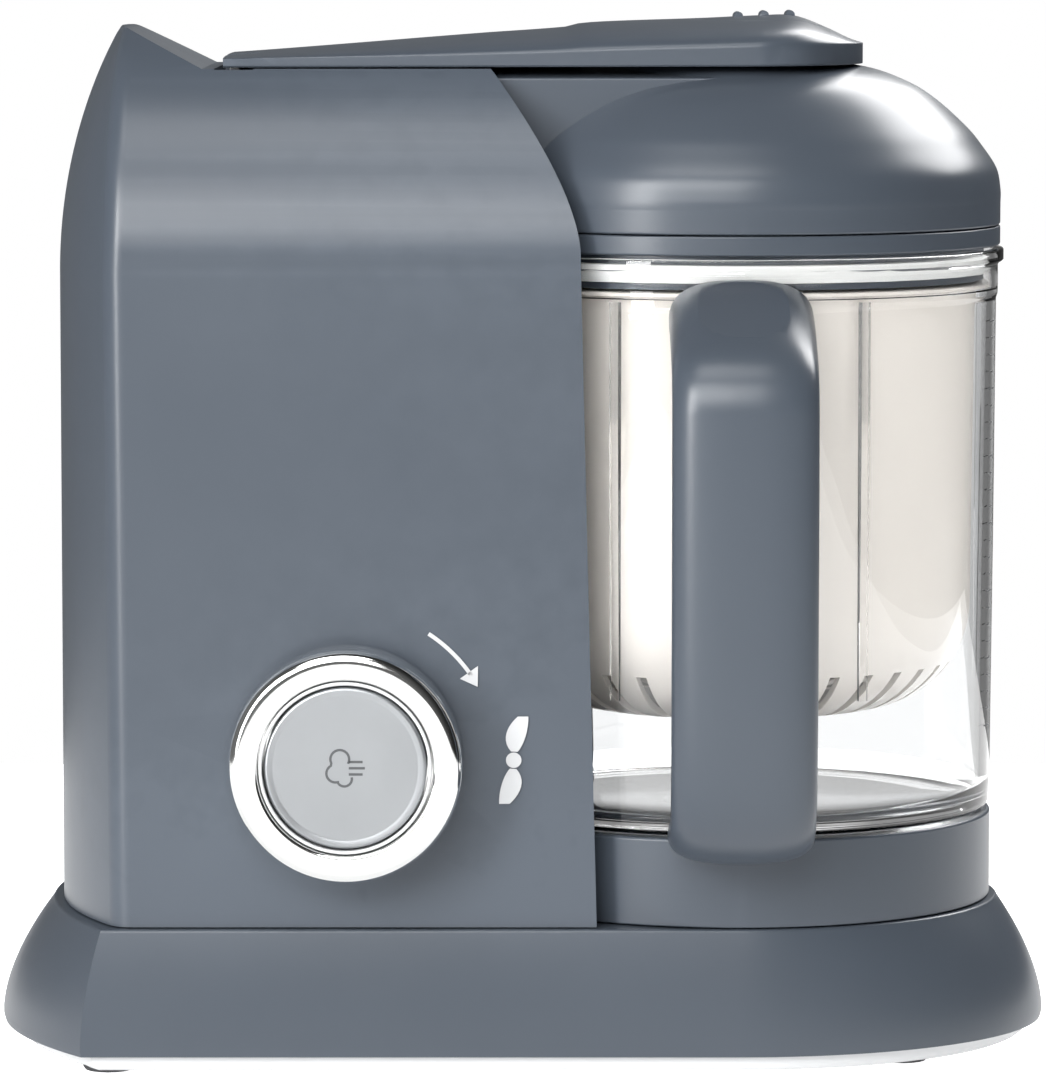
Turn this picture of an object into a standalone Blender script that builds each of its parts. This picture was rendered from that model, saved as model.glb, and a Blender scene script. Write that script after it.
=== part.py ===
"""Baby food maker: a steamer and blender on one base, made as separate pieces.

Lengths are millimetres, measured from the jug's axis (x), from the body's middle plane (y) and
from the table (z). `place` turns them into metres and moves them to the part's own frame, whose
origin lies on the table under the middle of the whole appliance.
"""

from math import cos, pi, sin, sqrt

import bmesh
import bpy
from mathutils import Matrix, Vector

METRE = 0.001
JUG_AT = Vector((48.9, 18.0, 0.0))  # where the jug's axis stands in the part's frame
GAP = 0.3                           # clearance between touching pieces
WALL = 2.5                          # thickness of the moulded shells
ROUND = 32                          # segments of a large turned piece
SMALL = 16                          # segments of a small turned piece
COIL_STEPS = 10                     # points in one turn of a spring

# Base
BASE_TOP = 33.0
BASE_LOW = 4.3
BASE_WIDEST = 6.0
COVER_LOW = 0.8
COVER_TOP = 4.0
FOOT_TOP = 2.6
FOOT_RADIUS = 6.0
FOOT_PLACES = {"front_left": (-143, -54), "front_right": (38, -42),
               "rear_left": (-143, 54), "rear_right": (38, 42)}
SCREW_PLACES = [(-120, -50), (24, -46), (24, 46), (-120, 50)]
BOSS_RADIUS = 4.5

# Tower
RECESS_RADIUS = 67.5                # the hollow that the jug stands in
RECESS_SEGMENTS = 48
TOWER_LEFT = -156.6
TOWER_CORNER_BOW = 119.8            # radius of the bowed left side, seen from above
TOWER_TOP = 226.6
FIN_PEAK = (-140.0, 236.0)
FIN_FOOT = -121.8
DECK_HALF = 36.0
DECK_LOW = 222.3
DECK_TOP = 226.4

# Knob and controls
KNOB_X = -88.6
KNOB_Z = 71.7
KNOB_RADIUS = 26.2
KNOB_FRONT = -76.4
KNOB_BACK = -60.6

# Arm
HINGE_X = -114.5
HINGE_Z = 226.4
ARM_HALF = 37.0
ARM_REAR = -117.0
ARM_TIP_START = 3.0
ARM_TIP_LENGTH = 27.05
ARM_BANDS = [(-117, 1.9), (-60, 2.7), (-20, 3.7), (30, 4.7)]
ARM_RIDGE = [(-117, 229.4), (-59, 234.1), (-38, 235.6), (-36, 236.5), (-7, 237.6), (14, 238.2),
             (21, 235.7), (30, 231.9)]
ARM_STATIONS = [-117, -112, -100, -80, -59, -38, -36, -7, 3, 14, 21, 26, 28.6, 29.8]
BUTTON_X = 7.0                      # middle of the release button
BUTTON_HALF = (16.0, 20.0)

# Boiler, motor and drive
BOILER_X = -94.0
NECK_BORE = 14.5
MOTOR_X = -112.0
PULLEY_RADII = (8.0, 28.0)
BELT_LOW = 12.0
BELT_TOP = 19.0
BELT_THICK = 1.8

# Jug, lid and basket
JUG_FLOOR = 53.7
LIP_TOP = 184.5
LID_SEAM = 190.0
DOME_TOP = 228.0
DOME_RADIUS = 62.2
BASKET_LOW = 77.7
STEAM_Z = 213.0

# The point on each body's axis, from which its pieces are placed
BODIES = {
    "base": (0, 0, 0),
    "motor_rotor": (MOTOR_X, 0, 0),
    "drive_spindle": (0, 0, 0),
    "knob": (KNOB_X, 0, KNOB_Z),
    "steam_button": (KNOB_X, 0, KNOB_Z),
    "arm": (HINGE_X, 0, HINGE_Z),
    "release": (BUTTON_X, 0, 235),
    "lid": (0, 0, LID_SEAM),
    "jug": (0, 0, BASE_TOP),
    "blade": (0, 0, JUG_FLOOR),
    "basket": (0, 0, BASKET_LOW),
}

# Material: colour, roughness, metallic
MATERIALS = {
    "body_plastic": ((0.150, 0.165, 0.190), 0.38, 0.0),
    "clear_jug": ((0.90, 0.92, 0.93), 0.05, 0.0),
    "basket_cream": ((0.85, 0.80, 0.74), 0.35, 0.0),
    "chrome": ((0.85, 0.86, 0.87), 0.12, 1.0),
    "brushed_silver": ((0.72, 0.74, 0.76), 0.32, 1.0),
    "steel": ((0.62, 0.62, 0.63), 0.22, 1.0),
    "silver_plastic": ((0.78, 0.79, 0.80), 0.30, 0.0),
    "dark_plastic": ((0.045, 0.048, 0.055), 0.55, 0.0),
    "rubber": ((0.06, 0.06, 0.065), 0.80, 0.0),
    "silicone": ((0.80, 0.80, 0.78), 0.60, 0.0),
    "copper_red": ((0.55, 0.24, 0.12), 0.40, 1.0),
    "board_green": ((0.03, 0.20, 0.09), 0.50, 0.0),
}


# ---------------------------------------------------------------- outlines and solids

def bezier(start, pull_a, pull_b, end, steps):
    """Points of one cubic curve, both ends included."""
    points = []
    for i in range(steps + 1):
        t = i / steps
        weights = ((1 - t) ** 3, 3 * t * (1 - t) ** 2, 3 * t * t * (1 - t), t ** 3)
        corners = (start, pull_a, pull_b, end)
        points.append(tuple(sum(w * c[axis] for w, c in zip(weights, corners)) for axis in (0, 1)))
    return points


def circle(radius, segments=SMALL, x=0.0, y=0.0):
    return [(x + radius * cos(2 * pi * i / segments), y + radius * sin(2 * pi * i / segments))
            for i in range(segments)]


def between(table, x):
    """Straight-line reading of a table of (x, value)."""
    for (x0, v0), (x1, v1) in zip(table, table[1:]):
        if x <= x1:
            return v0 + (v1 - v0) * (x - x0) / (x1 - x0)
    return table[-1][1]


def loft(rings):
    """A closed body through rings of equal count, capped at both ends."""
    bm = bmesh.new()
    rows = [[bm.verts.new(point) for point in ring] for ring in rings]
    count = len(rings[0])
    for low, high in zip(rows, rows[1:]):
        for i in range(count):
            j = (i + 1) % count
            bm.faces.new((low[i], low[j], high[j], high[i]))
    bm.faces.new(rows[0])
    bm.faces.new(rows[-1])
    bmesh.ops.recalc_face_normals(bm, faces=bm.faces)
    return bm


def prism(outline, axis, low, high):
    """An outline carried along an axis: (x, y) along Z, (x, z) along Y, (y, z) along X."""
    spread = {"X": lambda a, b, h: (h, a, b), "Y": lambda a, b, h: (a, h, b),
              "Z": lambda a, b, h: (a, b, h)}[axis]
    return loft([[spread(a, b, low) for a, b in outline], [spread(a, b, high) for a, b in outline]])


def box(low, high):
    (x0, y0, z0), (x1, y1, z1) = low, high
    return prism([(x0, y0), (x1, y0), (x1, y1), (x0, y1)], "Z", z0, z1)


def rod(radius, axis, low, high, at=(0.0, 0.0), segments=SMALL):
    return prism(circle(radius, segments, *at), axis, low, high)


def turned(profile, segments=ROUND, axis="Z", at=(0.0, 0.0, 0.0)):
    """A closed outline of (radius, height) spun round an axis; it may touch the axis."""
    bm = bmesh.new()
    verts = [bm.verts.new((radius, 0.0, height)) for radius, height in profile]
    edges = [bm.edges.new((a, b)) for a, b in zip(verts, verts[1:] + verts[:1])
             if a.co.x > 0 or b.co.x > 0]
    bmesh.ops.spin(bm, geom=verts + edges, cent=(0, 0, 0), axis=(0, 0, 1), dvec=(0, 0, 0),
                   angle=2 * pi, steps=segments, use_merge=True)
    bmesh.ops.remove_doubles(bm, verts=bm.verts, dist=1e-4)
    bmesh.ops.recalc_face_normals(bm, faces=bm.faces)
    if axis == "Y":
        bmesh.ops.rotate(bm, verts=bm.verts, cent=(0, 0, 0), matrix=Matrix.Rotation(-pi / 2, 3, "X"))
    bmesh.ops.translate(bm, verts=bm.verts, vec=at)
    return bm


def tube(inner, outer, low, high, segments=SMALL, axis="Z", at=(0.0, 0.0, 0.0)):
    return turned([(inner, low), (outer, low), (outer, high), (inner, high)], segments, axis, at)


# ---------------------------------------------------------------- objects

def material(name):
    made = bpy.data.materials.get(name)
    if made is None:
        colour, roughness, metallic = MATERIALS[name]
        made = bpy.data.materials.new(name)
        made.use_nodes = True
        shader = made.node_tree.nodes["Principled BSDF"]
        shader.inputs["Base Color"].default_value = (*colour, 1.0)
        shader.inputs["Roughness"].default_value = roughness
        shader.inputs["Metallic"].default_value = metallic
        made.diffuse_color = (*colour, 1.0)
    return made


def body_axes():
    """One empty on each body's axis, which that body's pieces are parented to."""
    axes = {}
    for body, point in BODIES.items():
        empty = bpy.data.objects.new("axis_" + body, None)
        empty.location = (Vector(point) + JUG_AT) * METRE
        bpy.context.scene.collection.objects.link(empty)
        axes[body] = empty
    return axes


AXES = {}


def place(name, bm, body):
    """Turns millimetres from the jug's axis into metres from the body's axis."""
    bmesh.ops.translate(bm, verts=bm.verts, vec=-Vector(BODIES[body]))
    bmesh.ops.scale(bm, verts=bm.verts, vec=(METRE, METRE, METRE))
    mesh = bpy.data.meshes.new(name)
    bm.to_mesh(mesh)
    bm.free()
    made = bpy.data.objects.new(name, mesh)
    made.parent = AXES[body]
    bpy.context.scene.collection.objects.link(made)
    return made


def piece(name, body, finish, bm):
    made = place(name, bm, body)
    made.data.materials.append(material(finish))
    made.data.shade_smooth()
    made.data.set_sharp_from_angle(angle=0.6)
    return made


def guide(name, bm):
    """A hidden solid that shapes another one."""
    made = place("guide_" + name, bm, "base")
    made.hide_render = True
    made.display_type = "WIRE"
    return made


def shape(target, operation, *others):
    for other in others:
        modifier = target.modifiers.new(other.name, "BOOLEAN")
        modifier.operation = operation
        modifier.solver = "EXACT"
        modifier.object = other
    return target


def cut(target, *others):
    return shape(target, "DIFFERENCE", *others)


def add(target, *others):
    return shape(target, "UNION", *others)


def keep(target, *others):
    return shape(target, "INTERSECT", *others)


# ---------------------------------------------------------------- base

def bulge(z):
    """How far the base's side has swelled at a height, from 0 at its top to 1."""
    if z < BASE_WIDEST:
        return 1 - 0.01 * (BASE_WIDEST - z) ** 2
    return 1 - ((z - BASE_WIDEST) / 28) ** 1.7


def base_outline(z, inset=0.0):
    """A round nose under the jug, straight sides, and a bowed left end between two corners."""
    swell = bulge(z)
    nose = (61.2 + 12 * swell - inset, 60.5 + 3.5 * swell - inset)
    corner = (-144 - 5 * swell + inset, 61 + 3 * swell - inset)
    bow = -157.7 - 13.3 * swell + inset
    outline = []
    for i in range(19):
        angle = pi * (i / 18 - 0.5)
        outline.append((nose[0] * cos(angle), nose[1] * sin(angle)))
    for i in range(9):
        t = 1 - i / 4
        outline.append((bow + (corner[0] - bow) * t * t, corner[1] * t))
    return outline


def base_loft(heights, inset=0.0):
    return loft([[(x, y, z) for x, y in base_outline(z, inset)] for z in heights])


def base_housing():
    shell = piece("base_housing", "base", "body_plastic",
                  base_loft([BASE_LOW, BASE_WIDEST, 12, 19, 26, 30, BASE_TOP]))
    inside = loft([[(x, y, z) for x, y in base_outline(max(z, BASE_WIDEST), WALL)]
                   for z in (0.0, BASE_WIDEST, 18, BASE_TOP - WALL)])
    cut(shell, guide("base_inside", inside))
    for n, (x, y) in enumerate(SCREW_PLACES):
        add(shell, guide(f"boss_{n}", rod(BOSS_RADIUS, "Z", BASE_LOW, BASE_TOP - 1, (x, y), 12)))
        cut(shell, guide(f"boss_bore_{n}", rod(1.8, "Z", 0, 18, (x, y), 8)))
    cut(shell,
        guide("spindle_hole", rod(12.0, "Z", 20, 40)),
        guide("motor_opening", box((-135, -30, 20), (-89, 30, 40))))


def bottom_cover():
    cover = piece("bottom_cover", "base", "silver_plastic", base_loft([COVER_LOW, COVER_TOP], 2.0))
    for name, (x, y) in FOOT_PLACES.items():
        cut(cover, guide("foot_pocket_" + name, rod(FOOT_RADIUS + GAP, "Z", 0, FOOT_TOP + GAP, (x, y))))
        piece("foot_" + name, "base", "rubber", turned(
            [(0, 0), (FOOT_RADIUS - 0.6, 0), (FOOT_RADIUS, 0.6), (FOOT_RADIUS, FOOT_TOP), (0, FOOT_TOP)],
            SMALL, at=(x, y, 0)))
    for n, (x, y) in enumerate(SCREW_PLACES):
        cut(cover,
            guide(f"screw_sink_{n}", rod(3.7, "Z", 0, 2.7, (x, y), 12)),
            guide(f"screw_hole_{n}", rod(1.9, "Z", 2, 5, (x, y), 8)))
        piece(f"cover_screw_{n + 1}", "base", "steel", turned(
            [(0, 1.0), (3.2, 1.0), (3.2, 2.4), (1.5, 2.4), (1.5, 15.0), (0, 16.0)], 8, at=(x, y, 0)))


# ---------------------------------------------------------------- tower

def arch(inset=0.0, low=BASE_TOP + GAP):
    """The tower from the side: near-upright walls that roll over into a rounded top."""
    half = [(59.8 - inset, low)]
    half += bezier((57.1 - inset, 187), (55.5 - inset, 207 - inset), (40 - inset, 240 - inset),
                   (0, 240 - inset), 9)
    return half + [(-y, z) for y, z in reversed(half[:-1])]


def silhouette(inset=0.0):
    """The tower's top line from the front: a peaked fin at the left and a flat deck."""
    drop = 1.4 * inset
    return [(-200, 0), (-200, FIN_PEAK[1] - drop), (FIN_PEAK[0] + 0.5 * inset, FIN_PEAK[1] - drop),
            (FIN_FOOT, TOWER_TOP - inset), (0, TOWER_TOP - inset), (0, 0)]


def left_line(inset=0.0):
    """The tower's left side from the front as (height, x), leaning in to the fin's peak."""
    left = TOWER_LEFT + inset
    drop = 1.4 * inset
    side = bezier((left, 180), (left + 0.2, 203), (left + 6.9, 222.5 - drop),
                  (left + 14, 235.1 - drop), 8)
    return [(0, left)] + [(z, x) for x, z in side] + [(240 - drop, left + 18)]


def tower_section(z, inset=0.0):
    """A level outline of the tower: its bowed left side follows the left line upwards."""
    left = between(left_line(inset), z)
    half = between([(height, y) for y, height in arch(inset, 0) if y >= 0], z)
    outline = []
    for i in range(17):
        y = half * (1 - i / 8)
        outline.append((left + TOWER_CORNER_BOW - sqrt(TOWER_CORNER_BOW ** 2 - y * y), y, z))
    return outline + [(0, -half, z), (0, half, z)]


def tower_loft(low, inset=0.0):
    drop = 1.4 * inset
    levels = [low, 110, 180, 187, 194, 201, 208, 214, 219, 223, 226.5, 229.5, 232.3, 234.8, 237]
    return loft([tower_section(z - (drop if z > 187 else 0), inset) for z in levels])


def tower_inside():
    inside = guide("tower_inside", tower_loft(0, WALL))
    return cut(keep(inside, guide("inside_silhouette", prism(silhouette(WALL), "Y", -80, 80))),
               guide("inside_recess", rod(RECESS_RADIUS + WALL, "Z", -20, 260, segments=RECESS_SEGMENTS)))


def tower_shells():
    outer = [guide("silhouette", prism(silhouette(), "Y", -80, 80))]
    openings = [
        guide("recess", rod(RECESS_RADIUS, "Z", 0, 260, segments=RECESS_SEGMENTS)),
        tower_inside(),
        guide("deck_well", box((-112.5, -DECK_HALF, 222), (-50, DECK_HALF, 240))),
        guide("hinge_trough", rod(4.5, "Y", -37.7, 37.7, (HINGE_X, HINGE_Z))),
        guide("steam_port", rod(3.5, "X", -80, -60, (0, STEAM_Z))),
    ]
    halves = {"front_shell": (-80, -GAP / 2), "rear_shell": (GAP / 2, 80)}
    for name, (y0, y1) in halves.items():
        shell = piece(name, "base", "body_plastic", tower_loft(BASE_TOP + GAP))
        keep(shell, *outer, guide(name + "_half", box((-180, y0, 20), (-20, y1, 250))))
        cut(shell, *openings)
        if name == "front_shell":
            cut(shell, guide("knob_port", rod(12.0, "Y", -70, -40, (KNOB_X, KNOB_Z))))
        else:
            cut(shell, guide("cord_port", rod(5.8, "Y", 40, 70, (MOTOR_X, 50))))


def top_deck():
    """The plate under the arm, with the filler mouth and the two hinge knuckles."""
    deck = piece("top_deck", "base", "body_plastic",
                 box((-110.3, -DECK_HALF + GAP, DECK_LOW), (-50, DECK_HALF - GAP, DECK_TOP)))
    for side in (-1, 1):
        y0, y1 = sorted((side * 15.5, side * 19.5))
        foot = box((HINGE_X - 2.6, y0, 222.5), (-109, y1, HINGE_Z))
        add(deck, guide(f"knuckle_foot_{side + 1}", foot),
            guide(f"knuckle_{side + 1}", rod(2.6, "Y", y0, y1, (HINGE_X, HINGE_Z))))
    cut(deck,
        guide("deck_recess", rod(RECESS_RADIUS, "Z", 200, 240, segments=RECESS_SEGMENTS)),
        guide("filler_mouth", rod(18.5, "Z", 200, 240, (BOILER_X, 0), 32)),
        guide("tongue_slot", box((-74.6, 7.2, 200), (-71.0, 16.8, 240))),
        guide("deck_pin_bore", rod(1.5, "Y", -50, 50, (HINGE_X, HINGE_Z), 16)))


# ---------------------------------------------------------------- boiler and steam parts

def oval(z, a, b):
    return [(BOILER_X + x * a, y * b, z) for x, y in circle(1.0, 24)]


def boiler_parts():
    outer = [(140, 17, 34), (142, 20, 38), (146, 21.5, 40), (196, 21.5, 40), (202, 19, 32),
             (206.5, 15.7, 15.7), (221.2, 15.7, 15.7), (221.2, 17.5, 17.5), (222.6, 17.5, 17.5)]
    inner = [(222.6, NECK_BORE, NECK_BORE), (206, NECK_BORE, NECK_BORE), (201, 17.8, 30.5),
             (195.5, 20.3, 38.8), (146.5, 20.3, 38.8), (143, 18.8, 36.5), (141.2, 15.5, 32.5)]
    piece("boiler_cup", "base", "steel", loft([oval(*ring) for ring in outer + inner]))
    piece("boiler_heater", "base", "copper_red", loft([oval(131, 15, 30), oval(139.7, 15, 30)]))
    piece("thermostat", "base", "steel", rod(8, "Z", 124, 130.7, (BOILER_X, 0)))
    nozzle = piece("steam_nozzle", "base", "dark_plastic", rod(3.2, "X", -77.5, -67.9, (0, STEAM_Z)))
    cut(nozzle, guide("nozzle_bore", rod(1.8, "X", -90, -60, (0, STEAM_Z), 12)))


# ---------------------------------------------------------------- motor and drive

def gear_outline(teeth, root, tip):
    outline = []
    for i in range(teeth):
        for part, radius in ((0.0, root), (0.3, root), (0.5, tip), (0.8, tip)):
            angle = 2 * pi * (i + part) / teeth
            outline.append((radius * cos(angle), radius * sin(angle)))
    return outline


def motor_parts():
    at = (MOTOR_X, 0, 0)
    piece("motor_housing", "base", "steel", turned(
        [(29, 45), (31, 45), (31, 111), (28, 114), (5, 114), (5, 112), (27, 112), (29, 110)],
        32, at=at))
    bracket = piece("motor_bracket", "base", "dark_plastic", box((-147, -36, 39.7), (-77, 36, 44.7)))
    for n, (x, y) in enumerate([(-143, -32), (-81, -32), (-81, 32), (-143, 32)]):
        add(bracket, guide(f"bracket_leg_{n}", rod(3, "Z", BASE_TOP + GAP, 41, (x, y), 12)))
    cut(bracket, guide("bracket_bore", rod(6, "Z", 30, 50, (MOTOR_X, 0))))
    piece("motor_shaft", "motor_rotor", "steel", rod(3, "Z", 9, 122, (MOTOR_X, 0)))
    armature = [(x + MOTOR_X, y) for x, y in gear_outline(8, 21, 24)]
    cut(piece("motor_armature", "motor_rotor", "copper_red", prism(armature, "Z", 50, 106)),
        guide("armature_bore", rod(3.3, "Z", 40, 120, (MOTOR_X, 0))))
    fan = [(x + MOTOR_X, y) for x, y in gear_outline(9, 10, 24)]
    cut(piece("cooling_fan", "motor_rotor", "dark_plastic", prism(fan, "Z", 115, 120)),
        guide("fan_bore", rod(3.3, "Z", 110, 125, (MOTOR_X, 0))))
    small, large = PULLEY_RADII
    piece("motor_pulley", "motor_rotor", "dark_plastic",
          tube(3.3, small, BELT_LOW - 1, BELT_TOP + 1, 24, at=at))
    piece("driven_pulley", "drive_spindle", "dark_plastic",
          tube(4.3, large, BELT_LOW - 1, BELT_TOP + 1, 40))
    belt = piece("drive_belt", "base", "rubber",
                 prism(belt_outline(GAP + BELT_THICK), "Z", BELT_LOW, BELT_TOP))
    cut(belt, guide("belt_inside", prism(belt_outline(GAP), "Z", BELT_LOW - 5, BELT_TOP + 5)))


def belt_outline(stand_off):
    """The loop round both pulleys, at a distance from them."""
    small, large = (radius + stand_off for radius in PULLEY_RADII)
    lean = (large - small) / -MOTOR_X
    tilt = pi / 2 - lean
    outline = []
    for i in range(21):
        angle = (pi - tilt) * (2 * i / 20 - 1)
        outline.append((large * cos(angle), large * sin(angle)))
    for i in range(13):
        angle = pi - tilt + 2 * tilt * i / 12
        outline.append((MOTOR_X + small * cos(angle), small * sin(angle)))
    return outline


def spindle_parts():
    piece("spindle_shaft", "drive_spindle", "steel", rod(4, "Z", 5, 33.2))
    piece("spindle_bearing_lower", "base", "steel", tube(4.3, 10, BASE_LOW, 10.7, 24))
    piece("spindle_bearing_upper", "base", "steel", tube(4.3, 11.7, 24, 32.5, 24))
    piece("drive_seal", "base", "silicone", tube(10.2, 17, BASE_TOP + GAP, 35.2, 32))
    piece("drive_dog", "drive_spindle", "dark_plastic", rod(9, "Z", 33.5, 42, segments=6))


# ---------------------------------------------------------------- controls

def knob_parts():
    at = (KNOB_X, 0, KNOB_Z)
    piece("knob_ring", "knob", "chrome", turned(
        [(3.6, -54.5), (9.1, -54.5), (9.1, KNOB_BACK), (25.4, KNOB_BACK), (KNOB_RADIUS, -61.6),
         (KNOB_RADIUS, -73.5), (25.4, -75.6), (23.8, KNOB_FRONT), (20.6, KNOB_FRONT), (19.7, -75.6),
         (19.7, -64), (3.6, -64)], ROUND, "Y", at))
    piece("light_ring", "knob", "silicone", tube(18.6, 19.4, -76.0, -66, ROUND, "Y", at))
    piece("steam_button", "steam_button", "brushed_silver", turned(
        [(0, -75.4), (16.8, -75.6), (18.2, -75.0), (18.2, -70.5), (3, -70.5), (3, -53), (0, -53)],
        ROUND, "Y", at))
    piece("rotary_switch", "base", "dark_plastic",
          box((KNOB_X - 12, -50, KNOB_Z - 12), (KNOB_X + 12, -40, KNOB_Z + 12)))
    coil_spring("button_spring", "knob", (KNOB_X, -69.9, KNOB_Z), 7.0, 5.2, 3)
    piece("control_board", "base", "board_green", box((-140, 44, 60), (-88, 45.6, 125)))
    piece("arm_switch", "base", "dark_plastic", box((-77, 8, 207.5), (-71.2, 16, 217.2)))
    piece("cord_gland", "base", "rubber", turned(
        [(0, 53), (5.5, 53), (5.5, 60), (5.0, 63.4), (0, 63.4)], SMALL, "Y", (MOTOR_X, 0, 50)))


def coil_spring(name, body, start, radius, length, turns):
    """A wire wound round the Y axis from its start point."""
    curve = bpy.data.curves.new(name, "CURVE")
    curve.dimensions = "3D"
    curve.bevel_depth = 0.45 * METRE
    curve.bevel_resolution = 0
    curve.use_fill_caps = True
    count = COIL_STEPS * turns + 1
    spline = curve.splines.new("POLY")
    spline.points.add(count - 1)
    for i in range(count):
        angle = 2 * pi * i / COIL_STEPS
        step = Vector((radius * cos(angle), length * i / (count - 1), radius * sin(angle)))
        spline.points[i].co = (*((Vector(start) + step - Vector(BODIES[body])) * METRE), 1.0)
    curve.materials.append(material("steel"))
    made = bpy.data.objects.new(name, curve)
    made.parent = AXES[body]
    bpy.context.scene.collection.objects.link(made)


# ---------------------------------------------------------------- arm

def arm_rim(x):
    """Height of the arm's lower edge."""
    return 226.9 + 0.3 * (x - ARM_REAR) / 147


def arm_section(x):
    """One cross-section: a flat underside, upright bands and a crown."""
    beyond = max(0.0, x - ARM_TIP_START) / ARM_TIP_LENGTH
    half = ARM_HALF * sqrt(1 - beyond * beyond)
    rim = arm_rim(x)
    band = rim + between(ARM_BANDS, x)
    rise = between(ARM_RIDGE, x) - band
    ring = [(x, half, rim)]
    for i in range(13):
        angle = pi * i / 12
        ring.append((x, half * cos(angle), band + rise * sin(angle) ** 0.9))
    return ring + [(x, -half, rim)]


def arm_solid():
    return loft([arm_section(x) for x in ARM_STATIONS])


def ellipse(inset):
    return [(BUTTON_X + (BUTTON_HALF[0] - inset) * x, (BUTTON_HALF[1] - inset) * y)
            for x, y in circle(1.0, 32)]


def liner_outline(inset):
    """The shallow hollow under the rear of the arm."""
    half = 32.0 - inset
    return [(-105.0 + inset, -half), (-35.0 - inset, -half), (-35.0 - inset, half),
            (-105.0 + inset, half)]


def sloped_plate(outline, below, above):
    """A plate between two distances from the arm's lower edge."""
    return loft([[(x, y, arm_rim(x) + rise) for x, y in outline] for rise in (below, above)])


def arm_parts():
    cover = piece("arm_cover", "arm", "body_plastic", arm_solid())
    notches = []
    for side in (-1, 1):
        y0, y1 = sorted((side * 15.2, side * 19.8))
        notches.append(guide(f"knuckle_notch_{side + 1}", box((-119, y0, 220), (-109.5, y1, 240))))
    cut(cover,
        guide("arm_hollow", sloped_plate(liner_outline(0), -5, 1.3)),
        guide("dome_hollow", prism([(-35.5, -32), (8, -32), (20, -25), (26, -13), (26, 13), (20, 25), (8, 32), (-35.5, 32)],
                                   "Z", 220, 229.4)),
        guide("arm_pin_bore", rod(1.5, "Y", -33.3, 33.3, (HINGE_X, HINGE_Z), 16)),
        guide("button_well", prism(ellipse(0), "Z", 230.9, 250)), *notches)
    piece("hinge_pin", "arm", "steel", rod(1.2, "Y", -33, 33, (HINGE_X, HINGE_Z), 12))
    piece("arm_liner", "arm", "dark_plastic", sloped_plate(liner_outline(GAP), 0.4, 1.0))
    piece("arm_tongue", "arm", "dark_plastic", box((-73.6, 8, 217.6), (-72.0, 16, 227.1)))
    piece("boiler_cap", "arm", "dark_plastic", turned(
        [(0, 222.3), (12.2, 222.3), (13, 223.1), (13, 224.7), (17.3, 224.7), (17.3, 226.6), (0, 226.6)],
        32, at=(BOILER_X, 0, 0)))
    piece("boiler_cap_seal", "arm", "silicone", tube(13.3, 17, 222.9, 224.4, 32, at=(BOILER_X, 0, 0)))
    button = piece("release_button", "release", "body_plastic", arm_solid())
    keep(button, guide("button_outline", prism(ellipse(GAP), "Z", 232.7, 260)))
    for n, x in enumerate((1, 7, 13)):
        top = between(ARM_RIDGE, x)
        add(button, guide(f"grip_bar_{n}", rod(1.1, "Y", -5, 5, (x, top), 12)))


# ---------------------------------------------------------------- jug, lid, basket and blade

def jug_parts():
    piece("jug_glass", "jug", "clear_jug", turned(
        [(9.0, JUG_FLOOR), (58.6, JUG_FLOOR), (60.3, 55.4), (61.3, 173), (61.7, 174), (61.7, 180.6),
         (63.0, 181.6), (63.0, LIP_TOP), (60.3, LIP_TOP), (60.3, 175.2), (59.0, 175.2), (57.9, 61),
         (56.6, 57.6), (54.0, 56.1), (9.0, 56.1)]))
    piece("jug_base_ring", "jug", "body_plastic", turned(
        [(57.6, BASE_TOP + GAP), (60.6, BASE_TOP + GAP), (60.6, 53.4), (20, 53.4), (20, 50.4),
         (57.6, 50.4)]))
    grip = [(-58, 180), (-66, 180), (-92, 170.5), (-97.5, 165), (-99.7, 156), (-100, 140), (-99.6, 100),
            (-98.6, 75), (-96.5, 63), (-91, 55.5), (-82, 51.5), (-70, 49.5), (-58, 49), (-58, 62),
            (-72, 63), (-80, 66), (-85, 72), (-87, 82), (-87.6, 110), (-87, 146), (-84.5, 154),
            (-79, 159), (-70, 161), (-58, 161)]
    handle = piece("jug_handle", "jug", "body_plastic", prism(grip, "X", -16.2, 16.2))
    section = [(16.2 * cos(pi * i / 16), -86 - 14 * sin(pi * i / 16) ** 0.8) for i in range(17)]
    keep(handle, guide("grip_section", prism(section + [(-16.2, -40), (16.2, -40)], "Z", 20, 220)))
    cut(handle, guide("jug_room", turned(
        [(0, 20), (61.0, 20), (61.0, 80), (61.6, 80), (61.6, 173.2), (62.0, 173.2), (62.0, 210),
         (0, 210)])))
    piece("blade_bush", "jug", "steel", turned(
        [(3.3, 47), (8.7, 47), (8.7, 56.4), (14, 56.4), (14, 58.7), (3.3, 58.7)], 24))
    piece("bush_nut", "jug", "dark_plastic", tube(9.0, 16, 49.6, 53.4, 24))


def blade_parts():
    piece("blade_shaft", "blade", "steel", rod(3, "Z", 46.7, 74.5))
    socket = piece("drive_socket", "blade", "dark_plastic", rod(14, "Z", 35.6, 46.4, segments=24))
    cut(socket, guide("socket_hex", rod(9.6, "Z", 30, 43, segments=6)))
    piece("blade_hub", "blade", "steel", tube(3.3, 8, 59, 68.2, 24))
    wing = bezier((0, -7), (14, -9), (30, -5), (36, 3), 8)
    wing += bezier((36, 3), (26, 5), (14, 6), (0, 7), 6)[1:-1]
    outline = wing + [(-x, -y) for x, y in wing]
    cut(piece("blade", "blade", "steel", prism(outline, "Z", 68.5, 70.1)),
        guide("blade_bore", rod(3.3, "Z", 60, 80)))
    piece("blade_nut", "blade", "steel", turned(
        [(0, 74.8), (3.3, 74.8), (3.3, 70.4), (6, 70.4), (6, 74.0), (4.4, 75.8), (0, 75.8)], 12))


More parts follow.
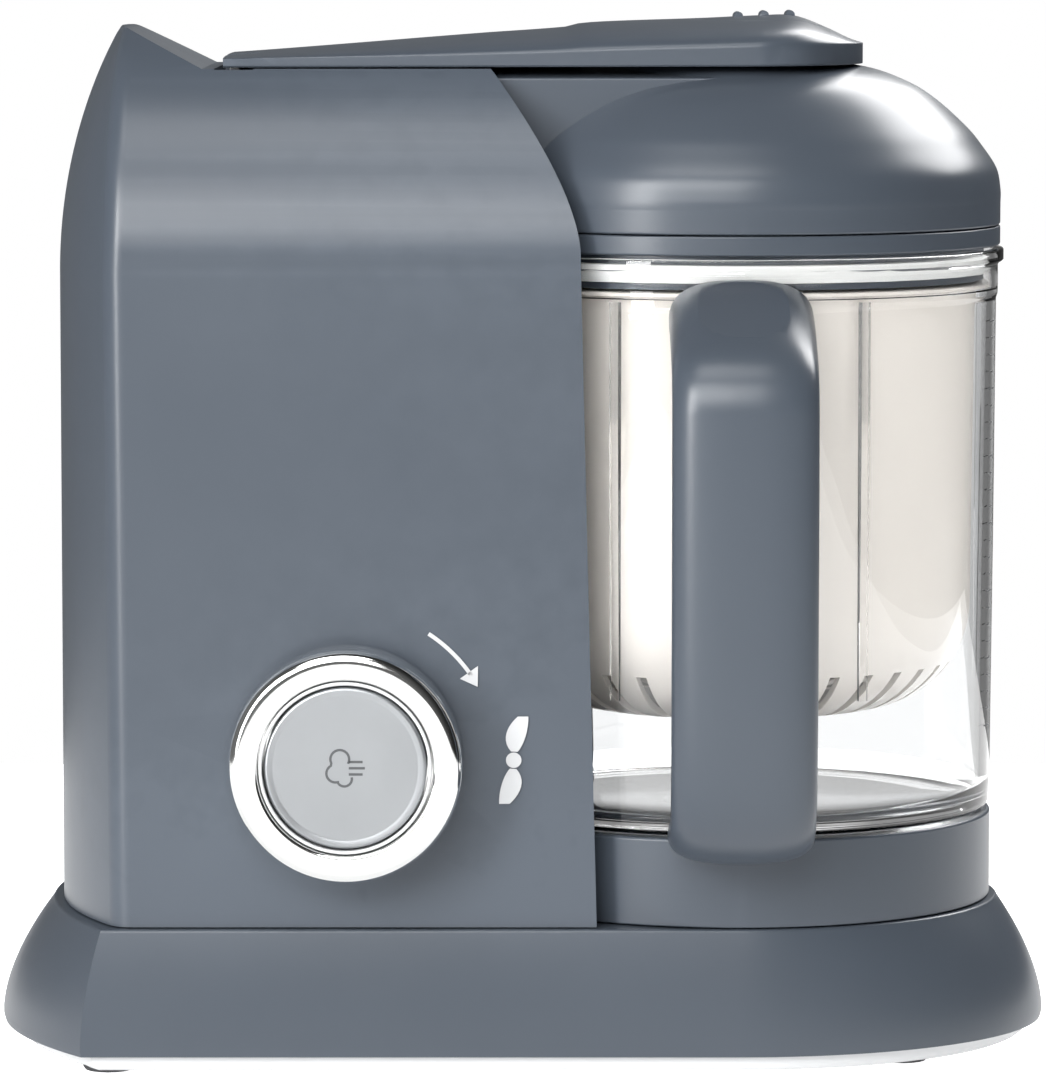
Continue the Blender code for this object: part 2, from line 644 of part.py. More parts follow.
def basket():
    turn = [pi / 2 * i / 4 for i in range(5)]
    corner_out = [(30.7 + 25 * sin(a), BASKET_LOW + 25 - 25 * cos(a)) for a in turn]
    corner_in = [(30.7 + 23.4 * sin(a), BASKET_LOW + 25 - 23.4 * cos(a)) for a in turn]
    cup = piece("basket", "basket", "basket_cream", turned(
        [(0, BASKET_LOW)] + corner_out + [(56.5, 175.5), (60.0, 175.5), (60.0, 177), (54.9, 177)]
        + corner_in[::-1] + [(0, BASKET_LOW + 1.6)]))
    slots = 10
    for n in range(slots):
        slot = box((22, -1.2, 60), (44, 1.2, 110))
        bmesh.ops.rotate(slot, verts=slot.verts, cent=(0, 0, 0),
                         matrix=Matrix.Rotation(2 * pi * (n + 0.5) / slots, 3, "Z"))
        cut(cup, guide(f"basket_slot_{n}", slot))


DOME_SKIN = [(62.2, 198), (61.2, 203), (57.7, 208.3), (54.2, 212.5), (47.2, 218.8), (40.4, 223.0),
             (30.6, 226.4), (17, 227.8), (0, 228.0)]
DOME_LINING = [(59.8, 197), (58.9, 201.6), (55.7, 206.6), (52.4, 210.6), (45.8, 216.7), (39.4, 220.7),
               (30.0, 223.9), (17, 225.3), (0, 225.5)]


def dome(curve=None, low=LID_SEAM):
    curve = curve or DOME_SKIN
    return turned([(0, low), (curve[0][0], low)] + curve)


def lid_parts():
    lid = piece("lid_dome", "lid", "body_plastic", dome())
    neck = guide("lid_neck", prism([(-37, 200), (37, 200), (37, 224.5), (24, 225.7), (0, 226.4),
                                    (-24, 225.7), (-37, 224.5)], "X", -80, -5))
    keep(neck, guide("neck_room", rod(RECESS_RADIUS - 0.6, "Z", 150, 250, segments=RECESS_SEGMENTS)))
    add(lid, neck)
    cut(lid, guide("seal_pocket", rod(6.3, "X", -80, -64.1, (0, STEAM_Z))),
        guide("steam_passage", rod(3.5, "X", -90, -40, (0, STEAM_Z))),
        guide("lid_inside", dome(DOME_LINING, 150)))
    seal = piece("steam_inlet_seal", "lid", "silicone", rod(6, "X", -66.4, -64.4, (0, STEAM_Z)))
    cut(seal, guide("inlet_seal_bore", rod(3.8, "X", -80, -50, (0, STEAM_Z))))
    piece("lid_ring", "lid", "body_plastic", turned(
        [(57, 177.5), (58.4, 177.5), (58.4, 185.2), (DOME_RADIUS, 185.2), (DOME_RADIUS, 189.7),
         (57, 189.7)]))
    piece("lid_seal", "lid", "silicone", tube(58.7, 60.0, 179, 183, ROUND))


def main():
    for old in list(bpy.data.objects):
        bpy.data.objects.remove(old, do_unlink=True)
    AXES.update(body_axes())
    base_housing()
    bottom_cover()
    tower_shells()
    top_deck()
    boiler_parts()
    motor_parts()
    spindle_parts()
    knob_parts()
    arm_parts()
    jug_parts()
    blade_parts()
    basket()
    lid_parts()


main()
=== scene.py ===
"""The finished look of a baby food maker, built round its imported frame.

Lengths in the shape functions are millimetres from the jug's axis (x), the body's middle plane (y)
and the table (z). `settle` turns them into metres in the frame's own place.
"""

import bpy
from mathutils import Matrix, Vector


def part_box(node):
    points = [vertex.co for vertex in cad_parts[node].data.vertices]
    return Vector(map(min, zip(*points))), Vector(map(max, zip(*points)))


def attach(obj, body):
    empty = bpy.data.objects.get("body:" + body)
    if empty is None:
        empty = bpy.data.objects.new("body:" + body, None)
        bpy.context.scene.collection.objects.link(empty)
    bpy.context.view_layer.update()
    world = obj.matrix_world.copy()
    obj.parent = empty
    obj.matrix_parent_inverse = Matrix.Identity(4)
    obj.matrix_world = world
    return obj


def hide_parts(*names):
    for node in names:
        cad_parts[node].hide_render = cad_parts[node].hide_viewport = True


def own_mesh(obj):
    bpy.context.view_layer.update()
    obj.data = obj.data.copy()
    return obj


bl_info = {
    "name": "Baby food maker finish",
    "version": (1, 0, 0),
    "blender": (4, 5, 0),
    "location": "View3D > Sidebar > Food maker",
    "description": "Builds the shells, jug, lid, arm and controls of a baby food maker",
    "category": "Object",
}

from math import cos, pi, radians, sin, sqrt

import bmesh
import bpy
from mathutils import Matrix, Vector

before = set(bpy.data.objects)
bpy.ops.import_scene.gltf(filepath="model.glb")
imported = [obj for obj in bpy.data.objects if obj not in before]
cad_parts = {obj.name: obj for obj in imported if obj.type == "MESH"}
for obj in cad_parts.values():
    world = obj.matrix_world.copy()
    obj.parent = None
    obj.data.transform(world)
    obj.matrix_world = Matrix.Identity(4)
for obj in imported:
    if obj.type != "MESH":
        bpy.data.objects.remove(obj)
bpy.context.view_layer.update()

METRE = 0.001
RING_LOW, RING_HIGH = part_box("jug_base_ring")
KNOB_LOW, KNOB_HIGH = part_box("knob_ring")
HOUSING_LOW, HOUSING_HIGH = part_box("base_housing")
JUG_X = (RING_LOW.x + RING_HIGH.x) / 2
JUG_Y = (RING_LOW.y + RING_HIGH.y) / 2


def local(point):
    """A frame point in millimetres from the jug's axis."""
    return Vector(((point.x - JUG_X) / METRE, (point.y - JUG_Y) / METRE, point.z / METRE))


# Sizes that the frame gives
KNOB_X = (local(KNOB_LOW).x + local(KNOB_HIGH).x) / 2
KNOB_Z = (local(KNOB_LOW).z + local(KNOB_HIGH).z) / 2
KNOB_RADIUS = (local(KNOB_HIGH).x - local(KNOB_LOW).x) / 2
KNOB_FRONT = local(KNOB_LOW).y
BASE_TOP = local(HOUSING_HIGH).z
BASE_LOW = local(HOUSING_LOW).z
RING_TOP = local(RING_HIGH).z
LID_SEAM = local(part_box("lid_dome")[0]).z
BASKET_LOW = local(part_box("basket")[0]).z
HANDLE_HALF = local(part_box("jug_handle")[1]).x
PIN_RADIUS = 1.2
HINGE_X = local(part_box("hinge_pin")[0]).x + PIN_RADIUS
HINGE_Z = local(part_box("hinge_pin")[0]).z + PIN_RADIUS

# Shape constants shared by several pieces
RECESS_RADIUS = 67.5
WALL = 2.5
TOWER_LEFT = -156.6
TOWER_TOP = 226.6
SIDE_BOW = 119.8
FIN_PEAK = (-140.0, 236.0)
FIN_FOOT = -121.8
DECK_HALF = 36.0
PARTING = 0.15
BOILER_X = -94.0
STEAM_Z = 213.0
STEAM_BORE = 3.5
TOWER_TALL = 260.0    # a height clear above every piece
BASE_WIDEST = 6.0
ARM_HALF = 37.0
ARM_REAR = -117.0
ARM_TIP_START = 3.0
ARM_TIP_LENGTH = 27.05
BUTTON_X = 7.0
BUTTON_HALF = (16.0, 20.0)
FINE = 144          # segments of a large turned piece
MEDIUM = 72         # segments of a small turned piece


# ---------------------------------------------------------------- settings

def colour_property(name, description, default):
    return bpy.props.FloatVectorProperty(name=name, description=description, subtype="COLOR",
                                         size=3, min=0.0, max=1.0, default=default)


def factor_property(name, description, default):
    return bpy.props.FloatProperty(name=name, description=description, subtype="FACTOR",
                                   min=0.0, max=1.0, default=default)


def length_property(name, description, default):
    return bpy.props.FloatProperty(name=name, description=description, unit="LENGTH",
                                   subtype="DISTANCE", min=0.0, default=default)


def power_property(name, description, default):
    return bpy.props.FloatProperty(name=name, description=description, subtype="POWER", min=0.0,
                                   default=default)


class ShellSettings(bpy.types.PropertyGroup):
    """Colour and finish of the moulded outer pieces."""
    colour: colour_property("Shell colour", "Slate colour of the moulded shells", (0.064, 0.0775, 0.0975))
    roughness: factor_property("Shell roughness", "How satin the shells are", 0.31)
    grain: length_property("Grain size", "Width of the fine moulded grain", 0.00035)
    edge: length_property("Edge rounding", "Radius on the shells' outer edges", 0.0010)


class JugSettings(bpy.types.PropertyGroup):
    """The clear jug and the basket that hangs in it."""
    tint: colour_property("Jug tint", "Colour of the clear wall", (0.972, 0.978, 0.982))
    basket: colour_property("Basket colour", "Cream of the steam basket", (0.965, 0.94, 0.90))
    slots: bpy.props.IntProperty(name="Basket slots", description="Slots round the basket's foot",
                                 min=8, max=60, default=36)
    ribs: bpy.props.IntProperty(name="Jug ribs", description="Upright ribs inside the jug",
                                min=0, max=12, default=6)


class ControlSettings(bpy.types.PropertyGroup):
    """The knob, the steam button and the printed signs."""
    chrome: colour_property("Chrome colour", "Plated ring of the knob", (0.86, 0.865, 0.855))
    disc: colour_property("Disc colour", "Satin disc of the steam button", (0.42, 0.435, 0.45))
    print_light: colour_property("Light print", "Signs on the shell", (0.62, 0.63, 0.64))
    print_dark: colour_property("Dark print", "Sign on the button", (0.085, 0.09, 0.095))


class StageSettings(bpy.types.PropertyGroup):
    """Floor, light and camera."""
    key_power: power_property("Key light", "Power of the soft key light", 8.5)
    low_power: power_property("Low key light", "Power of the lower key light", 6.5)
    top_power: power_property("Overhead light", "Power of the light overhead", 5.5)
    fill_power: power_property("Fill light", "Power of the soft fill light", 10.5)
    rim_power: power_property("Rim light", "Power of the rear right light", 21.0)
    sky: factor_property("Surroundings", "Brightness of the studio round the object", 0.16)
    lens: bpy.props.FloatProperty(name="Lens", description="Focal length in millimetres",
                                  min=20.0, default=215.9)


# ---------------------------------------------------------------- outlines and meshes

def bezier(start, pull_a, pull_b, end, steps):
    """Points of one cubic curve, both ends included."""
    points = []
    for i in range(steps + 1):
        t = i / steps
        weights = ((1 - t) ** 3, 3 * t * (1 - t) ** 2, 3 * t * t * (1 - t), t ** 3)
        corners = (start, pull_a, pull_b, end)
        points.append(tuple(sum(w * c[axis] for w, c in zip(weights, corners)) for axis in (0, 1)))
    return points


def arc(x, y, radius, start, end, steps):
    """Points on a circle between two angles in degrees."""
    return [(x + radius * cos(radians(start + (end - start) * i / steps)),
             y + radius * sin(radians(start + (end - start) * i / steps))) for i in range(steps + 1)]


def circle(radius, segments=MEDIUM, x=0.0, y=0.0):
    return arc(x, y, radius, 0, 360, segments)[:-1]


def smooth_between(table, x):
    """Reading of a table of (x, value) that passes smoothly through its rows."""
    last = len(table) - 1
    for i in range(last):
        x0, v0 = table[i]
        x1, v1 = table[i + 1]
        if x <= x1 or i == last - 1:
            before = table[max(0, i - 1)]
            after = table[min(last, i + 2)]
            t = min(1.0, max(0.0, (x - x0) / (x1 - x0)))
            slope_a = (v1 - before[1]) / max(1e-6, x1 - before[0]) * (x1 - x0)
            slope_b = (after[1] - v0) / max(1e-6, after[0] - x0) * (x1 - x0)
            return ((2 * t ** 3 - 3 * t * t + 1) * v0 + (t ** 3 - 2 * t * t + t) * slope_a
                    + (3 * t * t - 2 * t ** 3) * v1 + (t ** 3 - t * t) * slope_b)
    return table[-1][1]


def prism(outline, axis, low, high):
    """An outline extruded along an axis: (x, y) along Z, (x, z) along Y, (y, z) along X."""
    spread = {"X": lambda a, b, h: (h, a, b), "Y": lambda a, b, h: (a, h, b),
              "Z": lambda a, b, h: (a, b, h)}[axis]
    bm = bmesh.new()
    face = bm.faces.new([bm.verts.new(spread(a, b, low)) for a, b in outline])
    grown = bmesh.ops.extrude_face_region(bm, geom=[face])["geom"]
    lift = Vector(spread(0, 0, high)) - Vector(spread(0, 0, low))
    bmesh.ops.translate(bm, verts=[g for g in grown if isinstance(g, bmesh.types.BMVert)], vec=lift)
    bmesh.ops.recalc_face_normals(bm, faces=bm.faces)
    return bm


def box(low, high):
    (x0, y0, z0), (x1, y1, z1) = low, high
    return prism([(x0, y0), (x1, y0), (x1, y1), (x0, y1)], "Z", z0, z1)


def rod(radius, axis, low, high, at=(0.0, 0.0), segments=MEDIUM):
    return prism(circle(radius, segments, *at), axis, low, high)


def spun(profile, segments=FINE, axis="Z", at=(0.0, 0.0, 0.0)):
    """A closed outline of (radius, height) spun round an axis; it may touch the axis."""
    bm = bmesh.new()
    verts = [bm.verts.new((radius, 0.0, height)) for radius, height in profile]
    edges = [bm.edges.new((a, b)) for a, b in zip(verts, verts[1:] + verts[:1])
             if a.co.x > 0 or b.co.x > 0]
    bmesh.ops.spin(bm, geom=verts + edges, cent=(0, 0, 0), axis=(0, 0, 1), dvec=(0, 0, 0),
                   angle=2 * pi, steps=segments, use_merge=True)
    bmesh.ops.remove_doubles(bm, verts=bm.verts, dist=1e-4)
    bmesh.ops.recalc_face_normals(bm, faces=bm.faces)
    if axis == "Y":
        turned(bm, -pi / 2, "X")
    bmesh.ops.translate(bm, verts=bm.verts, vec=at)
    return bm


def skinned(rings):
    """A closed skin grown from the first ring through the others, capped at both ends."""
    bm = bmesh.new()
    row = [bm.verts.new(point) for point in rings[0]]
    edges = [bm.edges.new((a, b)) for a, b in zip(row, row[1:] + row[:1])]
    bm.faces.new(row)
    for ring in rings[1:]:
        places = {vert: i for i, vert in enumerate(row)}
        grown = bmesh.ops.extrude_edge_only(bm, edges=edges)["geom"]
        row = [None] * len(ring)
        for vert in (g for g in grown if isinstance(g, bmesh.types.BMVert)):
            for edge in vert.link_edges:
                place = places.get(edge.other_vert(vert))
                if place is not None:
                    row[place] = vert
        for vert, point in zip(row, ring):
            vert.co = point
        edges = [g for g in grown if isinstance(g, bmesh.types.BMEdge)]
    bm.faces.new(row)
    bmesh.ops.recalc_face_normals(bm, faces=bm.faces)
    return bm


def turned(bm, angle, axis="Z"):
    """A mesh turned about an axis through the jug's foot."""
    bmesh.ops.rotate(bm, verts=bm.verts, cent=(0, 0, 0), matrix=Matrix.Rotation(angle, 3, axis))
    return bm


def joined(*parts):
    """Several loose bodies in one mesh."""
    whole = bmesh.new()
    for part in parts:
        mesh = bpy.data.meshes.new("part")
        part.to_mesh(mesh)
        part.free()
        whole.from_mesh(mesh)
        bpy.data.meshes.remove(mesh)
    return whole


def linked(name, data):
    made = bpy.data.objects.new(name, data)
    bpy.context.scene.collection.objects.link(made)
    return made


def meshed(name, bm):
    """An object at the origin with a finished mesh, which is used up."""
    mesh = bpy.data.meshes.new(name)
    bm.to_mesh(mesh)
    bm.free()
    return linked(name, mesh)


def settle(name, bm):
    """An object at the origin whose mesh stands in its place, in metres."""
    bmesh.ops.scale(bm, verts=bm.verts, vec=(METRE, METRE, METRE))
    bmesh.ops.translate(bm, verts=bm.verts, vec=(JUG_X, JUG_Y, 0.0))
    return meshed(name, bm)


def apply_modifiers(made):
    graph = bpy.context.evaluated_depsgraph_get()
    graph.update()
    mesh = bpy.data.meshes.new_from_object(made.evaluated_get(graph))
    made.modifiers.clear()
    made.data = mesh
    mesh.name = made.name


def combine(made, operation, tool):
    """Shapes an object with another that is then thrown away. The solver's threads can now and
    then give back nothing, so an empty result is made again."""
    before = made.data
    for _ in range(6):
        modifier = made.modifiers.new("carve", "BOOLEAN")
        modifier.operation = operation
        modifier.solver = "EXACT"
        modifier.object = tool
        apply_modifiers(made)
        if made.data.polygons:
            bpy.data.objects.remove(tool)
            return made
        made.data = before
    raise RuntimeError("nothing left of " + made.name)


def carve(made, operation, *tools):
    """Shapes an object with others that are then thrown away."""
    for bm in tools:
        combine(made, operation, settle("tool", bm))
    return made


def smooth(made, angle=32.0, even=True):
    """Smooth shading that keeps edges over an angle, with flat faces left looking flat."""
    made.data.shade_smooth()
    made.data.set_sharp_from_angle(angle=radians(angle))
    if even:
        modifier = made.modifiers.new("even_faces", "WEIGHTED_NORMAL")
        modifier.keep_sharp = True
    return made


def soften(made, width, segments=3, angle=34.0):
    """Small radii on every edge that is sharper than an angle; width in metres."""
    modifier = made.modifiers.new("soft_edges", "BEVEL")
    modifier.width = width
    modifier.segments = segments
    modifier.limit_method = "ANGLE"
    modifier.angle_limit = radians(angle)
    modifier.miter_outer = "MITER_ARC"
    apply_modifiers(made)
    return made


def fit(made, body, slot, material, *nodes):
    """Gives a piece its finish and its body, and hides the nodes that it stands for. The slot is not
    used.
    """
    made.data.materials.clear()
    made.data.materials.append(material)
    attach(made, body)
    if nodes:
        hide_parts(*nodes)
    return made


# ---------------------------------------------------------------- shader groups

def once(build):
    """Keeps what a function builds and hands out the same one again."""
    kept = []

    def get():
        if not kept:
            kept.append(build())
        return kept[0]
    return get


def node_group(name, inputs, outputs):
    """An empty shader group with named number and colour sockets."""
    group = bpy.data.node_groups.new(name, "ShaderNodeTree")
    for socket, kind, default in inputs:
        made = group.interface.new_socket(name=socket, in_out="INPUT", socket_type=kind)
        made.default_value = default
    for socket, kind in outputs:
        group.interface.new_socket(name=socket, in_out="OUTPUT", socket_type=kind)
    return group, group.nodes.new("NodeGroupInput"), group.nodes.new("NodeGroupOutput")


def math_node(tree, operation, a, b=None, c=None):
    """A Math node whose inputs are numbers or sockets."""
    made = tree.nodes.new("ShaderNodeMath")
    made.operation = operation
    for socket, value in zip(made.inputs, (a, b, c)):
        if isinstance(value, bpy.types.NodeSocket):
            tree.links.new(value, socket)
        elif value is not None:
            socket.default_value = value
    return made.outputs[0]


def noise_node(tree, place, scale, detail=2.0, roughness=0.5):
    made = tree.nodes.new("ShaderNodeTexNoise")
    made.inputs["Detail"].default_value = detail
    made.inputs["Roughness"].default_value = roughness
    tree.links.new(place, made.inputs["Vector"])
    if isinstance(scale, bpy.types.NodeSocket):
        tree.links.new(scale, made.inputs["Scale"])
    else:
        made.inputs["Scale"].default_value = scale
    return made.outputs["Fac"]


def object_place(tree):
    return tree.nodes.new("ShaderNodeTexCoord").outputs["Object"]


@once
def grain_group():
    """Fine moulded grain: a height and a slow drift, both over the surface."""
    group, given, out = node_group(
        "moulded_grain",
        [("Grain Scale", "NodeSocketFloat", 2600.0), ("Drift Scale", "NodeSocketFloat", 22.0)],
        [("Height", "NodeSocketFloat"), ("Drift", "NodeSocketFloat")])
    place = object_place(group)
    fine = noise_node(group, place, given.outputs["Grain Scale"], 3.0, 0.6)
    coarse = math_node(group, "MULTIPLY", given.outputs["Grain Scale"], 0.32)
    pebble = noise_node(group, place, coarse, 1.0, 0.4)
    height = math_node(group, "ADD", math_node(group, "MULTIPLY", fine, 0.6),
                       math_node(group, "MULTIPLY", pebble, 0.4))
    drift = noise_node(group, place, given.outputs["Drift Scale"], 3.0, 0.55)
    group.links.new(height, out.inputs["Height"])
    group.links.new(drift, out.inputs["Drift"])
    return group


@once
def drift_group():
    """A colour and a roughness that wander slightly with a mask."""
    group, given, out = node_group(
        "surface_drift",
        [("Colour", "NodeSocketColor", (0.5, 0.5, 0.5, 1.0)), ("Roughness", "NodeSocketFloat", 0.4),
         ("Drift", "NodeSocketFloat", 0.5), ("Colour Amount", "NodeSocketFloat", 0.06),
         ("Roughness Amount", "NodeSocketFloat", 0.08)],
        [("Colour", "NodeSocketColor"), ("Roughness", "NodeSocketFloat")])
    centred = math_node(group, "SUBTRACT", given.outputs["Drift"], 0.5)
    gain = math_node(group, "MULTIPLY_ADD", centred, given.outputs["Colour Amount"], 1.0)
    tinted = group.nodes.new("ShaderNodeVectorMath")
    tinted.operation = "SCALE"
    group.links.new(given.outputs["Colour"], tinted.inputs[0])
    group.links.new(gain, tinted.inputs["Scale"])
    rough = math_node(group, "MULTIPLY_ADD", centred, given.outputs["Roughness Amount"],
                      given.outputs["Roughness"])
    group.links.new(tinted.outputs[0], out.inputs["Colour"])
    group.links.new(rough, out.inputs["Roughness"])
    return group


@once
def painted_highlight_group():
    """A mask for a painted highlight on sharp outer edges: 1 there and 0 elsewhere, broken up by noise.
    """
    group, given, out = node_group(
        "edge_rub", [("Start", "NodeSocketFloat", 0.53), ("Amount", "NodeSocketFloat", 0.5)],
        [("Mask", "NodeSocketFloat")])
    # Painted highlight: convex edges, found by pointiness, are marked for a lighter colour that stands in
    # for light catching them.
    edge = group.nodes.new("ShaderNodeNewGeometry").outputs["Pointiness"]
    above = math_node(group, "SUBTRACT", edge, given.outputs["Start"])
    steep = math_node(group, "MULTIPLY", above, 9.0)
    broken = math_node(group, "MULTIPLY", steep, noise_node(group, object_place(group), 160.0))
    clipped = math_node(group, "MINIMUM", math_node(group, "MAXIMUM", broken, 0.0), 1.0)
    group.links.new(math_node(group, "MULTIPLY", clipped, given.outputs["Amount"]),
                    out.inputs["Mask"])
    return group


# ---------------------------------------------------------------- finishes

def finish(name, **fixed):
    """A new material, its shader and its tree, with plain socket values set."""
    material = bpy.data.materials.new(name)
    material.use_nodes = True
    shader = material.node_tree.nodes["Principled BSDF"]
    for socket, value in fixed.items():
        shader.inputs[socket.replace("_", " ")].default_value = value
    return material, shader, material.node_tree


def placed_group(tree, group, **values):
    made = tree.nodes.new("ShaderNodeGroup")
    made.node_tree = group
    for socket, value in values.items():
        made.inputs[socket.replace("_", " ")].default_value = value
    return made


def bumped(tree, shader, height, distance, strength=1.0):
    bump = tree.nodes.new("ShaderNodeBump")
    bump.inputs["Distance"].default_value = distance
    bump.inputs["Strength"].default_value = strength
    tree.links.new(height, bump.inputs["Height"])
    tree.links.new(bump.outputs["Normal"], shader.inputs["Normal"])


def moulded(name, colour, roughness, grain=2600.0, depth=0.000012, drift=0.05, edge_highlight_amount=0.35, **fixed):
    """Moulded plastic: fine grain, slow drift in tone and sheen, and a painted highlight: a lighter
    colour on outer edges. A material that already has the name, such as one that came with the frame, is
    used as it is."""
    material = bpy.data.materials.get(name)
    if material:
        return material
    material, shader, tree = finish(name, **fixed)
    surface = placed_group(tree, grain_group(), Grain_Scale=grain)
    tones = placed_group(tree, drift_group(), Colour=(*colour, 1.0), Roughness=roughness,
                         Colour_Amount=drift, Roughness_Amount=0.10)
    # Mask of the painted edge highlight.
    edges = placed_group(tree, painted_highlight_group(), Amount=edge_highlight_amount)
    tree.links.new(surface.outputs["Drift"], tones.inputs["Drift"])
    mix = tree.nodes.new("ShaderNodeMix")
    mix.data_type = "RGBA"
    tree.links.new(edges.outputs["Mask"], mix.inputs["Factor"])
    tree.links.new(tones.outputs["Colour"], mix.inputs[6])
    # Painted highlight: the lighter colour that the outer edges get.
    mix.inputs[7].default_value = (*[min(1.0, c * 1.6 + 0.02) for c in colour], 1.0)
    tree.links.new(mix.outputs[2], shader.inputs["Base Color"])
    tree.links.new(tones.outputs["Roughness"], shader.inputs["Roughness"])
    bumped(tree, shader, surface.outputs["Height"], depth)
    return material


def shell_plastic():
    shell = bpy.context.scene.maker_shell
    # The last number is the strength of the painted edge highlight.
    return moulded("shell_plastic", tuple(shell.colour), shell.roughness, 0.9 / shell.grain,
                   0.000010, 0.05, 0.25)


def dark_plastic():
    return moulded("dark_plastic", (0.030, 0.033, 0.038), 0.48, 1800.0, 0.00002)


def base_silver():
    return moulded("base_silver", (0.74, 0.75, 0.76), 0.24, 1500.0, 0.000004, 0.03, 0.0,
                   Coat_Weight=0.4)


def rubber():
    return moulded("foot_rubber", (0.045, 0.046, 0.05), 0.78, 1300.0, 0.00003, 0.12, 0.5)


def silicone():
    return moulded("silicone", (0.72, 0.72, 0.70), 0.5, 900.0, 0.00001, 0.05, 0.0,
                   Subsurface_Weight=0.25, Subsurface_Scale=0.004)


def clear_wall():
    """Clear polished plastic with the faintest ripple and hairline handling marks."""
    jug = bpy.context.scene.maker_jug
    material, shader, tree = finish("clear_wall", Transmission_Weight=1.0, Roughness=0.0, IOR=1.47,
                                    Metallic=0.0, Base_Color=(*jug.tint, 1.0))
    place = object_place(tree)
    ripple = noise_node(tree, place, 30.0, 1.0)
    marks = math_node(tree, "POWER", noise_node(tree, place, 700.0, 4.0, 0.7), 6.0)
    tree.links.new(math_node(tree, "MULTIPLY", marks, 0.10), shader.inputs["Roughness"])
    bumped(tree, shader, ripple, 0.00004)
    return material


def basket_cream():
    """Milky cream plastic that lets some light through."""
    jug = bpy.context.scene.maker_jug
    return moulded("basket_cream", tuple(jug.basket), 0.34, 1200.0, 0.000008, 0.04, 0.0,
                   Subsurface_Weight=0.3, Subsurface_Scale=0.006, Coat_Weight=0.15)


def metal(name, colour, roughness, stretch=(1.0, 1.0, 1.0), depth=0.000004, scale=900.0):
    """Bare metal with drawn lines along one axis and slight clouding."""
    material = bpy.data.materials.get(name)
    if material:
        return material
    material, shader, tree = finish(name, Metallic=1.0)
    mapping = tree.nodes.new("ShaderNodeMapping")
    mapping.inputs["Scale"].default_value = stretch
    tree.links.new(object_place(tree), mapping.inputs["Vector"])
    lines = noise_node(tree, mapping.outputs["Vector"], scale, 4.0, 0.65)
    cloud = placed_group(tree, grain_group(), Drift_Scale=40.0)
    tones = placed_group(tree, drift_group(), Colour=(*colour, 1.0), Roughness=roughness,
                         Colour_Amount=0.08, Roughness_Amount=0.16)
    tree.links.new(cloud.outputs["Drift"], tones.inputs["Drift"])
    tree.links.new(tones.outputs["Colour"], shader.inputs["Base Color"])
    tree.links.new(tones.outputs["Roughness"], shader.inputs["Roughness"])
    bumped(tree, shader, lines, depth)
    return material


def steel():
    return metal("steel", (0.60, 0.60, 0.61), 0.24, (1.0, 1.0, 0.08))


def copper():
    return metal("copper_winding", (0.62, 0.27, 0.13), 0.34, (1.0, 1.0, 14.0), 0.00008, 260.0)


def chrome():
    controls = bpy.context.scene.maker_controls
    return metal("chrome_plate", tuple(controls.chrome), 0.09, depth=0.0000015, scale=300.0)


def satin_disc():
    controls = bpy.context.scene.maker_controls
    return metal("satin_disc", tuple(controls.disc), 0.36, depth=0.000008, scale=2400.0)


def light_guide():
    """Pale light-guide plastic between the knob and its button."""
    return moulded("light_guide", (0.78, 0.79, 0.80), 0.22, 1500.0, 0.000003, 0.03, 0.0,
                   Transmission_Weight=0.15, Coat_Weight=0.5)


def light_print():
    controls = bpy.context.scene.maker_controls
    return moulded("light_print", tuple(controls.print_light), 0.45, 3000.0, 0.000006, 0.05, 0.0)


def dark_print():
    controls = bpy.context.scene.maker_controls
    return moulded("dark_print", tuple(controls.print_dark), 0.5, 3000.0, 0.000006, 0.05, 0.0)


def board_green():
    """Circuit board: green lacquer over a grid of raised copper tracks."""
    existing = bpy.data.materials.get("board_green")
    if existing:
        return existing
    material, shader, tree = finish("board_green", Roughness=0.35)
    bricks = tree.nodes.new("ShaderNodeTexBrick")
    bricks.inputs["Scale"].default_value = 130.0
    bricks.inputs["Color1"].default_value = (0.02, 0.17, 0.07, 1.0)
    bricks.inputs["Color2"].default_value = (0.03, 0.22, 0.09, 1.0)
    bricks.inputs["Mortar"].default_value = (0.20, 0.30, 0.10, 1.0)
    bricks.inputs["Mortar Size"].default_value = 0.04
    turn = tree.nodes.new("ShaderNodeMapping")
    turn.inputs["Rotation"].default_value = (pi / 2, 0.0, 0.0)
    tree.links.new(object_place(tree), turn.inputs["Vector"])
    tree.links.new(turn.outputs["Vector"], bricks.inputs["Vector"])
    tree.links.new(bricks.outputs["Color"], shader.inputs["Base Color"])
    bumped(tree, shader, bricks.outputs["Fac"], 0.00006)
    return material


# ---------------------------------------------------------------- base

def bulge(z):
    """How far the base's side has swelled at a height, from 0 at its top to 1."""
    if z < BASE_WIDEST:
        return 1 - 0.01 * (BASE_WIDEST - z) ** 2
    return 1 - ((z - BASE_WIDEST) / 28) ** 1.7


def base_outline(z, inset=0.0):
    """A round nose under the jug, straight sides, and a bowed left end between two corners."""
    swell = bulge(z)
    nose = (61.2 + 12 * swell - inset, 60.5 + 3.5 * swell - inset)
    corner = (-144 - 5 * swell + inset, 61 + 3 * swell - inset)
    bow = -157.7 - 13.3 * swell + inset
    outline = [(nose[0] * x, nose[1] * y) for x, y in arc(0, 0, 1, -90, 90, 90)]
    for i in range(41):
        t = 1 - i / 20
        outline.append((bow + (corner[0] - bow) * t * t, corner[1] * t))
    return outline


def base_rings(heights, inset=0.0, rounding=0.0):
    """Outlines at the heights; the last ones draw in over a rounded top edge."""
    rings = [[(x, y, z) for x, y in base_outline(z, inset)] for z in heights]
    top = heights[-1]
    for step in range(1, 5) if rounding else ():
        angle = pi / 2 * step / 4
        draw_in = inset + rounding * (1 - cos(angle))
        rings.append([(x, y, top + rounding * sin(angle)) for x, y in base_outline(top, draw_in)])
    return rings


